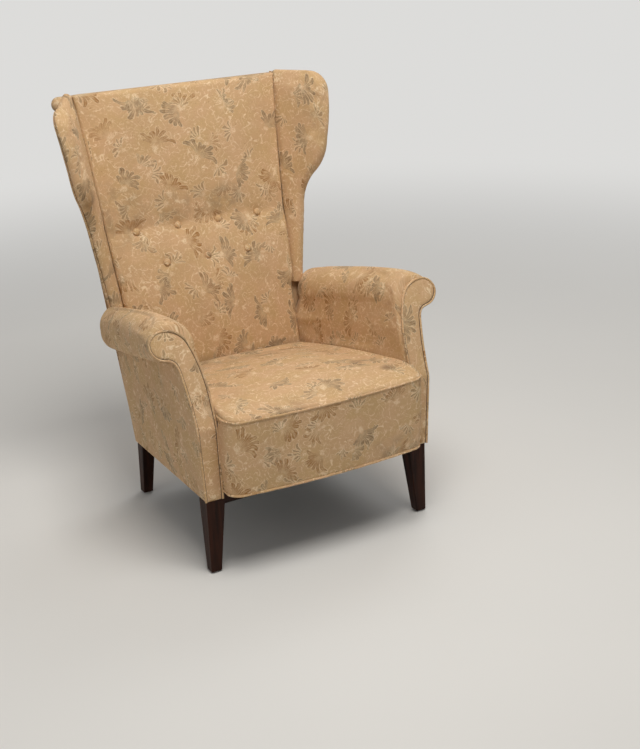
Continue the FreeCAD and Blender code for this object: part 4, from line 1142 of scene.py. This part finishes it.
# Wings
def wing_flat(points):
    """Flat place of points on the wing: reach and height, unrolled round the rim."""
    away = points - wing_root(points[:, 2])
    reach, offset = away @ AHEAD, away @ AWAY
    roll = offset + WING_INSIDE + WING_CURL * reach / WING_REACH
    return np.c_[reach + roll, points[:, 2] + 0.6 * roll]


def thinned(obj):
    """Lets the wing's outside taper towards its top."""
    points = spots(obj)
    away = points - wing_root(points[:, 2])
    offset = away @ AWAY
    taper = 0.34 * ease(points[:, 2], 730.0, 900.0) * np.maximum(offset, 0.0)
    move_to(obj, points - taper[:, None] * AWAY)


def sagged(obj):
    """The left wing's top has sunk a little with age."""
    points = spots(obj) * (-1, 1, 1)
    reach = (points - wing_root(points[:, 2])) @ AHEAD
    points[:, 2] -= 20.0 * ease(points[:, 2], 930.0, 1046.0) * ease(reach, 0.0, 90.0)
    move_to(obj, points * (-1, 1, 1))


def make_wing_pad():
    obj = remeshed("right_wing_pad", "right_wing_cover", 4.5)
    relaxed(obj, 10)
    points = spots(obj)
    away = points - wing_root(points[:, 2])
    reach, offset = away @ AHEAD, away @ AWAY
    held = np.where((reach < 7.0) | (offset > 9.0) | (points[:, 2] < 500.0), 1.0, 0.0)
    swell(obj, held, 5.0, 3.0)
    relaxed(obj, 3)
    cloth_map(obj, wing_flat)
    thinned(obj)
    return refine(obj)


def make_wing_panel():
    obj = remeshed("right_outside_wing_panel", "right_wing_outside", 4.0)
    relaxed(obj, 8)
    cloth_map(obj, lambda p: wing_flat(p) * (-1, 1))
    thinned(obj)
    return refine(obj)


# Legs
# Low and high X, low and high Y of each right-hand leg's head and foot
LEGS = {"front": ((255.5, 303.5, -331.5, -287.5), (276.5, 303.5, -331.5, -304.5)),
        "rear": ((229.5, 265.5, 152.0, 188.0), (239.5, 265.5, 171.0, 197.0))}


def make_leg(name, side, word):
    """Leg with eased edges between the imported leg's head and its foot."""
    head, foot = LEGS[name]
    bm = bmesh.new()
    rings = []
    for t in np.linspace(0, 1, 9):
        x0, x1, y0, y1 = (f + (h - f) * t for f, h in zip(foot, head))
        corners = ((x0, y0), (x1, y0), (x1, y1), (x0, y1))
        z = [3.0 + t * (base_z(y) - 3.3) for _, y in corners]
        rings.append([bm.verts.new((side * x * MM, y * MM, h * MM)) for (x, y), h in zip(corners, z)])
    for a, b in zip(rings, rings[1:]):
        for k in range(4):
            bm.faces.new((a[k], a[(k + 1) % 4], b[(k + 1) % 4], b[k]))
    bm.faces.new(rings[0])
    bm.faces.new(rings[-1])
    bmesh.ops.recalc_face_normals(bm, faces=bm.faces)
    uprights = [e for e in bm.edges if abs(e.verts[0].co.z - e.verts[1].co.z) > 0.01]
    soles = [e for e in bm.edges if max(v.co.z for v in e.verts) < 0.0035]
    bmesh.ops.bevel(bm, geom=uprights + soles, offset=bpy.context.scene.chair_sizes.edge_ease,
                    segments=3, profile=0.5, affect="EDGES")
    mesh = bpy.data.meshes.new(f"{word}_{name}_leg_turned")
    bm.to_mesh(mesh)
    bm.free()
    return placed(mesh.name, mesh)


# Webbing, hessian and dust cover
STRAP_WIDTH, STRAP_THICK = 50.0, 1.6


def strap(middle, way, up):
    """Flat strap along a line of points; way runs across it and up through it."""
    way, up = np.asarray(way, float) * STRAP_WIDTH, np.asarray(up, float)
    share = np.linspace(-0.5, 0.5, 6)
    grid = np.array([[point + way * c + up * 0.5 * STRAP_THICK for c in share] for point in middle])
    return thick_sheet("strap", grid, -up, STRAP_THICK, each_pair(share * STRAP_WIDTH, run_length(middle)))


def weave_level(phase):
    """Over and under of plaited straps, from -1 to 1."""
    return np.tanh(3.0 * np.cos(math.pi * np.asarray(phase))) / math.tanh(3.0)


def make_seat_straps():
    """Five straps from front to back, plaited with four across."""
    aside, apart, first, level = 65.0, 120.0, -220.0, 3.1
    low, high = cad_box("seat_webbing")
    pieces = []
    for i in range(5):
        y = np.linspace(low[1] + 1.0, high[1] - 1.0, 90)
        z = base_z(y) + level + (-1) ** i * weave_level((y - first) / apart)
        run = np.c_[np.full(90, (i - 2) * aside), y, z]
        turned = [(run[0, 0], low[1] + 1.0, run[0, 2] + rise) for rise in (30.0, 22.0, 14.0, 6.0)]
        pieces.append(strap(np.r_[turned, run], (1, 0, 0), (0, 0.2, 0.98)))
    for k in range(4):
        y = first + apart * k
        half = high[0] - 2.0 - 0.068 * (y + 245.0)
        x = np.linspace(-half, half, 90)
        z = base_z(y) + level - (-1) ** k * weave_level(x / aside)
        pieces.append(strap(np.c_[x, np.full(90, y), z], (0, 1, BASE_SLOPE), (0, 0, 1)))
    return bundled("seat_web_straps", pieces)


def rail_notch(z, half):
    """Half width beside the arm rails, which pass through the back's layers."""
    low, high = cad_box("right_arm_rail")
    return np.where((z > low[2] - 2.0) & (z < high[2] + 2.0), np.minimum(half, low[0] - 2.0), half)


def make_back_straps():
    pieces = []
    for i in range(7):
        z = 355.0 + 96.0 * i
        half = min(rail_notch(z + step, stile_outside(z) - 13.0) for step in (-25.0, 0.0, 25.0))
        x = np.linspace(-half, half, 60)
        y = stile_front(z) - 1.3 + 0.4 * np.cos(math.pi * x / (2 * half))
        lean = np.array((0.0, BACK_LEAN, 1.0)) / math.hypot(1.0, BACK_LEAN)
        pieces.append(strap(np.c_[x, y, np.full(60, z)], lean, (0, 1, 0)))
    return bundled("back_web_straps", pieces)


def stretched(name, halves, line, inward, thick):
    """Sheet stretched across the frame: its half widths at the points (y, z) of a line."""
    line, halves = np.asarray(line, float), np.asarray(halves, float)
    length = run_length(line)
    x, y, z, along = np.broadcast_arrays(halves[:, None] * np.linspace(-1, 1, 31), line[:, :1], line[:, 1:],
                                         length[:, None])
    obj = thick_sheet(name, np.stack([x, y, z], -1), inward, thick, np.stack([x, along], -1))
    area = float(np.sum((halves[1:] + halves[:-1]) * np.diff(length)))
    2 * halves.max() * MM
    length[-1] * MM
    return obj


def make_seat_hessian():
    low, high = cad_box("seat_hessian")
    y = np.linspace(low[1] + 0.5, high[1] - 0.5, 40)
    share = (y - low[1]) / (high[1] - low[1])
    z = high[2] - 0.1 + share * (low[2] + 1.1 - high[2])
    return stretched("seat_sacking", high[0] - 1.5 - 0.05 * (y - low[1]), np.c_[y, z], (0, 0, -1), 1.0)


def make_back_hessian():
    low, high = cad_box("back_hessian")
    z = np.linspace(low[2] + 1.0, high[2] - 1.0, 160)
    halves = rail_notch(z, stile_outside(z) - 17.0)
    return stretched("back_sacking", halves, np.c_[stile_front(z) - 3.8, z], (0, 1, 0), 1.0)


def make_dust_cover():
    """Cut out round the heads of the legs."""
    low, high = cad_box("dust_cover")
    rows = []
    for y in np.linspace(low[1] + 0.5, high[1] - 0.5, 150):
        half = high[0] - 1.0 - 0.068 * (y - low[1])
        for head, _ in LEGS.values():
            if head[2] - 5.0 < y < head[3] + 5.0:
                half = min(half, head[0] - 5.0)
        rows.append((half, y, base_z(y) + 0.7))
    rows = np.array(rows)
    return stretched("black_underlining", rows[:, 0], rows[:, 1:], (0, 0, -1), 0.6)


# Operators
class CHAIR_OT_stage(bpy.types.Operator):
    """Sets the floor, the lamps, the background and the camera"""

    bl_idname = "chair.stage"
    bl_label = "Stage"

    def execute(self, context):
        scene = context.scene
        tones, lights = scene.chair_colours, scene.chair_lights
        reach = np.r_[0.0, np.geomspace(0.4, 60.0, 26)]
        turn = np.linspace(0, 2 * np.pi, 48, endpoint=False)
        points = np.array([[(r * math.cos(a), r * math.sin(a), 0.0) for a in turn] for r in reach]) / MM
        flat = np.concatenate([points, points[:, :1]], 1)[..., :2]
        floor = outward(skin("floor", points, flat, wrap=True))
        made, net, shader = material("stage_paint")
        spot = net.out("NewGeometry")
        pale = tuple(tones.floor)
        share = net.ramp(net.noise(spot, 1.3, 2.0), 0.3, 0.7)
        colour = net.mix(share, rgb(pale), rgb([c * 0.985 for c in pale]))
        net.feed(shader, {"Base Color": colour, "Roughness": 0.9, "Specular IOR Level": 0.1})
        far = net.ramp(net.length(spot), 1.1, 4.5) * net.add("LightPath").outputs["Is Camera Ray"]
        glow = net.out("Emission", {"Color": rgb(tones.far), "Strength": 1.0})
        both = net.out("MixShader", {0: far, 1: shader.outputs[0], 2: glow})
        net.feed(net.tree.nodes["Material Output"], {0: both})
        floor.data.materials.append(made)

        world = scene.world or bpy.data.worlds.new("studio")
        scene.world = world
        world.use_nodes = True
        net = Net(world.node_tree)
        world.node_tree.nodes.clear()
        path = net.add("LightPath").outputs
        shown = net.most(path["Is Camera Ray"], path["Is Glossy Ray"], path["Is Transmission Ray"])
        light = net.out("Background", {"Color": (1.0, 0.985, 0.96, 1.0), "Strength": lights.sky})
        white = net.out("Background", {"Color": rgb(tones.far), "Strength": 1.0})
        net.add("OutputWorld", {"Surface": net.out("MixShader", {0: shown, 1: light, 2: white})})

        for name, power, place, size, tint in (
            ("key", lights.key, (-0.15, -1.1, 3.1), 1.5, (1.0, 0.965, 0.91)),
            ("side", lights.side, (-2.9, -0.5, 1.7), 1.4, (1.0, 0.97, 0.93)),
            ("rear", lights.rear, (1.8, 1.4, 2.9), 1.6, (1.0, 0.99, 0.97)),
        ):
            lamp = bpy.data.lights.new(name, "AREA")
            lamp.energy, lamp.size, lamp.color = power, size, tint
            obj = placed(name, lamp)
            obj.location = place
            aim = Vector((0.0, 0.0, 0.5)) - obj.location
            obj.rotation_euler = aim.to_track_quat("-Z", "Y").to_euler()

        pitch, yaw, roll = (math.radians(a) for a in (20.4, -28.9, -2.4))
        ahead = Vector((-math.sin(yaw) * math.cos(pitch), math.cos(yaw) * math.cos(pitch), -math.sin(pitch)))
        right = Vector((math.cos(yaw), math.sin(yaw), 0.0))
        up = right.cross(ahead)
        across = math.cos(roll) * right + math.sin(roll) * up
        up = math.cos(roll) * up - math.sin(roll) * right
        camera = placed("camera", bpy.data.cameras.new("camera"))
        turned = Matrix((across, up, -ahead)).transposed().to_4x4()
        camera.matrix_world = Matrix.Translation((-1.420, -2.922, 1.536)) @ turned
        camera.data.sensor_width = 36.0
        camera.data.lens = 1340.0 / 749.0 * camera.data.sensor_width
        scene.camera = camera
        scene.view_settings.view_transform = "Standard"
        return {"FINISHED"}


# Colours of soiled places and of painted shade, and the cloths that several groups share
GREY, UMBER = (0.25, 0.185, 0.115), (0.12, 0.07, 0.04)
WELT_CLOTH, OUTSIDE_CLOTH = ("welt_damask", (2.31, 1.27)), ("outside_damask", (4.2, 1.9))


class CHAIR_OT_seat(bpy.types.Operator):
    """Makes the crowned seat pad, its front border, the welt and the piping"""

    bl_idname = "chair.seat"
    bl_label = "Seat"

    def execute(self, context):
        # The first mark, a broad umber patch at the seat's front left, is partly soiling and partly painted
        # shadow of the left arm.
        marks = (((-0.10, -0.40, 0.40), (0.10, 0.06, 0.05), 0.25, UMBER),
                 ((0.17, -0.24, 0.42), (0.05, 0.04, 0.03), 0.55, UMBER),
                 ((0.20, -0.33, 0.42), (0.03, 0.03, 0.03), 0.60, UMBER),
                 ((-0.02, 0.10, 0.36), (0.26, 0.10, 0.06), 0.30, GREY))
        cover = damask("seat_damask", (0.31, 0.17), marks)
        dress(make_seat_pad(), cover, "floral_damask", "seat_pad")
        border_marks = (((0.18, -0.38, 0.22), (0.14, 0.1, 0.06), 0.45, GREY),)
        front = damask("border_damask", (1.73, 0.66), border_marks)
        dress(make_seat_border(), front, "floral_damask", "seat_front_border")
        trim = shared_damask(*WELT_CLOTH)
        for node, obj in make_seat_trims():
            dress(obj, trim, "floral_damask", node)
        return {"FINISHED"}


class CHAIR_OT_back(bpy.types.Operator):
    """Makes the buttoned back pad, its covered buttons, the top roll and the outside back"""

    bl_idname = "chair.back"
    bl_label = "Back"

    def execute(self, context):
        # The third mark, a grey patch down the back's left edge beside the left wing, is painted shade; the
        # first two are soiling above the upper row of buttons.
        marks = (((-0.02, 0.285, 0.735), (0.22, 0.08, 0.055), 0.28, GREY),
                 ((0.09, 0.29, 0.745), (0.07, 0.06, 0.05), 0.38, GREY),
                 ((-0.22, 0.29, 0.74), (0.09, 0.08, 0.13), 0.35, GREY))
        cover = damask("back_damask", (0.0, 0.0), marks)
        dress(make_back_pad(), cover, "floral_damask", "back_pad")
        dress(make_buttons(), damask("button_damask", (3.1, 0.4)), "floral_damask", "back_buttons")
        plain, rolled = shared_damask(*OUTSIDE_CLOTH), damask("roll_damask", (2.9, 2.2))
        dress(make_top_roll(), rolled, "floral_damask", "top_roll")
        dress(make_outside_back(), plain, "floral_damask", "outside_back_panel")
        return {"FINISHED"}


class CHAIR_OT_arms(bpy.types.Operator):
    """Makes both arms: cover over roll and inside, outside panel, facing, welt and dark tubes of painted seam
    shade
    """

    bl_idname = "chair.arms"
    bl_label = "Arms"

    def execute(self, context):
        marks = (((0.32, -0.22, 0.60), (0.09, 0.10, 0.03), 0.16, GREY),
                 ((-0.32, -0.22, 0.60), (0.09, 0.10, 0.03), 0.16, GREY))
        cover = damask("arm_damask", (0.9, 2.6), marks)
        trim, outside = shared_damask(*WELT_CLOTH), shared_damask(*OUTSIDE_CLOTH)
        facing = damask("facing_damask", (5.3, 0.8))
        # Dark brown cloth of the tubes that paint in the seams' shade, and beside the welt also their dirt
        thread = woven("seam_grime_and_painted_shade", (0.040, 0.024, 0.014), (0.10, 0.062, 0.036), 0.0012)
        for make, finish, stands_for, fill in (
            (make_arm, cover, ("arm_roll", "arm_inside_pad"), 0.85),
            (make_outside_arm, outside, ("outside_arm_panel",), 1.0),
            (make_facing, facing, ("arm_facing",), 0.9),
            (make_facing_welt, trim, ("facing_welt",), None),
            (make_facing_seam_dirt_and_shade, thread, (), None),
            (make_border_seam_shade, thread, (), None),
        ):
            right = make()
            left = mirrored(right, right.name.replace("right", "left"), (1.37, 0.83))
            if right.modifiers:
                refine(left)
            for obj, side in ((right, "right"), (left, "left")):
                dress(obj, finish, "floral_damask", *(f"{side}_{node}" for node in stands_for))
        return {"FINISHED"}


class CHAIR_OT_wings(bpy.types.Operator):
    """Makes both wings: the padded inside with its rolled rim, and the outside panel"""

    bl_idname = "chair.wings"
    bl_label = "Wings"

    def execute(self, context):
        marks = (((-0.31, 0.20, 0.80), (0.05, 0.08, 0.04), 0.60, UMBER),
                 ((0.33, 0.22, 0.96), (0.05, 0.06, 0.05), 0.30, GREY))
        cover = damask("wing_damask", (1.2, 4.1), marks)
        outside = shared_damask(*OUTSIDE_CLOTH)
        for make, finish, node, fill in ((make_wing_pad, cover, "wing_pad", 0.8),
                                         (make_wing_panel, outside, "outside_wing_panel", 1.0)):
            right = make()
            left = mirrored(right, right.name.replace("right", "left"), (0.71, 1.13))
            sagged(left)
            refine(left)
            for obj, side in ((right, "right"), (left, "left")):
                dress(obj, finish, "floral_damask", f"{side}_{node}")
        return {"FINISHED"}


class CHAIR_OT_legs(bpy.types.Operator):
    """Makes the stained legs and stains the front seat rail"""

    bl_idname = "chair.legs"
    bl_label = "Legs"

    def execute(self, context):
        tones = context.scene.chair_colours
        upright = wood("stained_legs", tones.stain_dark, tones.stain_light, (1.0, 1.0, 0.09), 0.46, 0.03)
        across = wood("stained_rail", tones.stain_dark, tones.stain_light, (0.09, 1.0, 1.0), 0.48, 0.03)
        for side, word in SIDES:
            for name in LEGS:
                dress(make_leg(name, side, word), upright, "stained_wood", f"{word}_{name}_leg")
        finish_node("front_seat_rail", across)
        return {"FINISHED"}


class CHAIR_OT_frame(bpy.types.Operator):
    """Makes the webbing, hessian and dust cover, and finishes the timber, springs and fixings"""

    bl_idname = "chair.frame"
    bl_label = "Frame"

    def execute(self, context):
        beech = {key: wood(f"beech_{key}", (0.42, 0.26, 0.14), (0.62, 0.43, 0.26), stretch, 0.62)
                 for key, stretch in (("up", (1.0, 1.0, 0.08)), ("back", (1.0, 0.08, 1.0)),
                                      ("side", (0.08, 1.0, 1.0)))}
        for name in nodes:
            if name.endswith(("front_post", "back_stile", "arm_facing_board", "wing_board")):
                finish_node(name, beech["up"])
            elif name.endswith(("side_seat_rail", "arm_rail")):
                finish_node(name, beech["back"])
            elif name in ("back_seat_rail", "lower_back_rail", "top_back_rail", "corner_blocks"):
                finish_node(name, beech["side"])
        jute = woven("jute_strap", (0.30, 0.20, 0.10), (0.52, 0.38, 0.21), 0.0022)
        sacking = woven("sacking", (0.28, 0.19, 0.10), (0.50, 0.37, 0.22), 0.0016)
        black = woven("black_underlining", (0.008, 0.008, 0.008), (0.03, 0.03, 0.03), 0.0012)
        for obj, finish, slot, node in ((make_seat_straps(), jute, "jute_webbing", "seat_webbing"),
                                        (make_back_straps(), jute, "jute_webbing", "back_webbing"),
                                        (make_seat_hessian(), sacking, "hessian", "seat_hessian"),
                                        (make_back_hessian(), sacking, "hessian", "back_hessian"),
                                        (make_dust_cover(), black, "dust_cloth", "dust_cover")):
            dress(obj, finish, slot, node)
        for name, finish in (("seat_springs", metal("coppered_wire", (0.60, 0.36, 0.22), 0.36, 0.5)),
                             ("leg_bolts", metal("zinc_bolts", (0.62, 0.62, 0.60), 0.34, 0.3)),
                             ("dust_cover_tacks", metal("blued_tacks", (0.10, 0.11, 0.14), 0.30, 0.4)),
                             ("foot_glides", metal("nickel_glides", (0.70, 0.68, 0.64), 0.26, 0.3))):
            finish_node(name, finish)
        return {"FINISHED"}


class CHAIR_PT_panel(bpy.types.Panel):
    """Lists the chair's pieces, sizes, colours and lamps"""

    bl_idname = "CHAIR_PT_panel"
    bl_label = "Wing Easy Chair"
    bl_space_type = "VIEW_3D"
    bl_region_type = "UI"
    bl_category = "Chair"

    def draw(self, context):
        for piece in PIECES:
            self.layout.operator(piece.bl_idname)
        for group in ("chair_sizes", "chair_colours", "chair_lights"):
            box = self.layout.box()
            values = getattr(context.scene, group)
            for name in values.__annotations__:
                box.prop(values, name)


GROUPS = (("chair_sizes", ChairSizes), ("chair_colours", ChairColours), ("chair_lights", ChairLights))
PIECES = (CHAIR_OT_stage, CHAIR_OT_seat, CHAIR_OT_back, CHAIR_OT_arms, CHAIR_OT_wings, CHAIR_OT_legs,
          CHAIR_OT_frame)


def register():
    for name, group in GROUPS:
        bpy.utils.register_class(group)
        setattr(bpy.types.Scene, name, PointerProperty(type=group))
    for made in (*PIECES, CHAIR_PT_panel):
        bpy.utils.register_class(made)


def unregister():
    for made in (CHAIR_PT_panel, *reversed(PIECES)):
        bpy.utils.unregister_class(made)
    for name, group in reversed(GROUPS):
        delattr(bpy.types.Scene, name)
        bpy.utils.unregister_class(group)


def main():
    register()
    bpy.ops.chair.stage()
    bpy.ops.chair.seat()
    bpy.ops.chair.back()
    bpy.ops.chair.arms()
    bpy.ops.chair.wings()
    bpy.ops.chair.legs()
    bpy.ops.chair.frame()


if __name__ == "__main__":
    main()
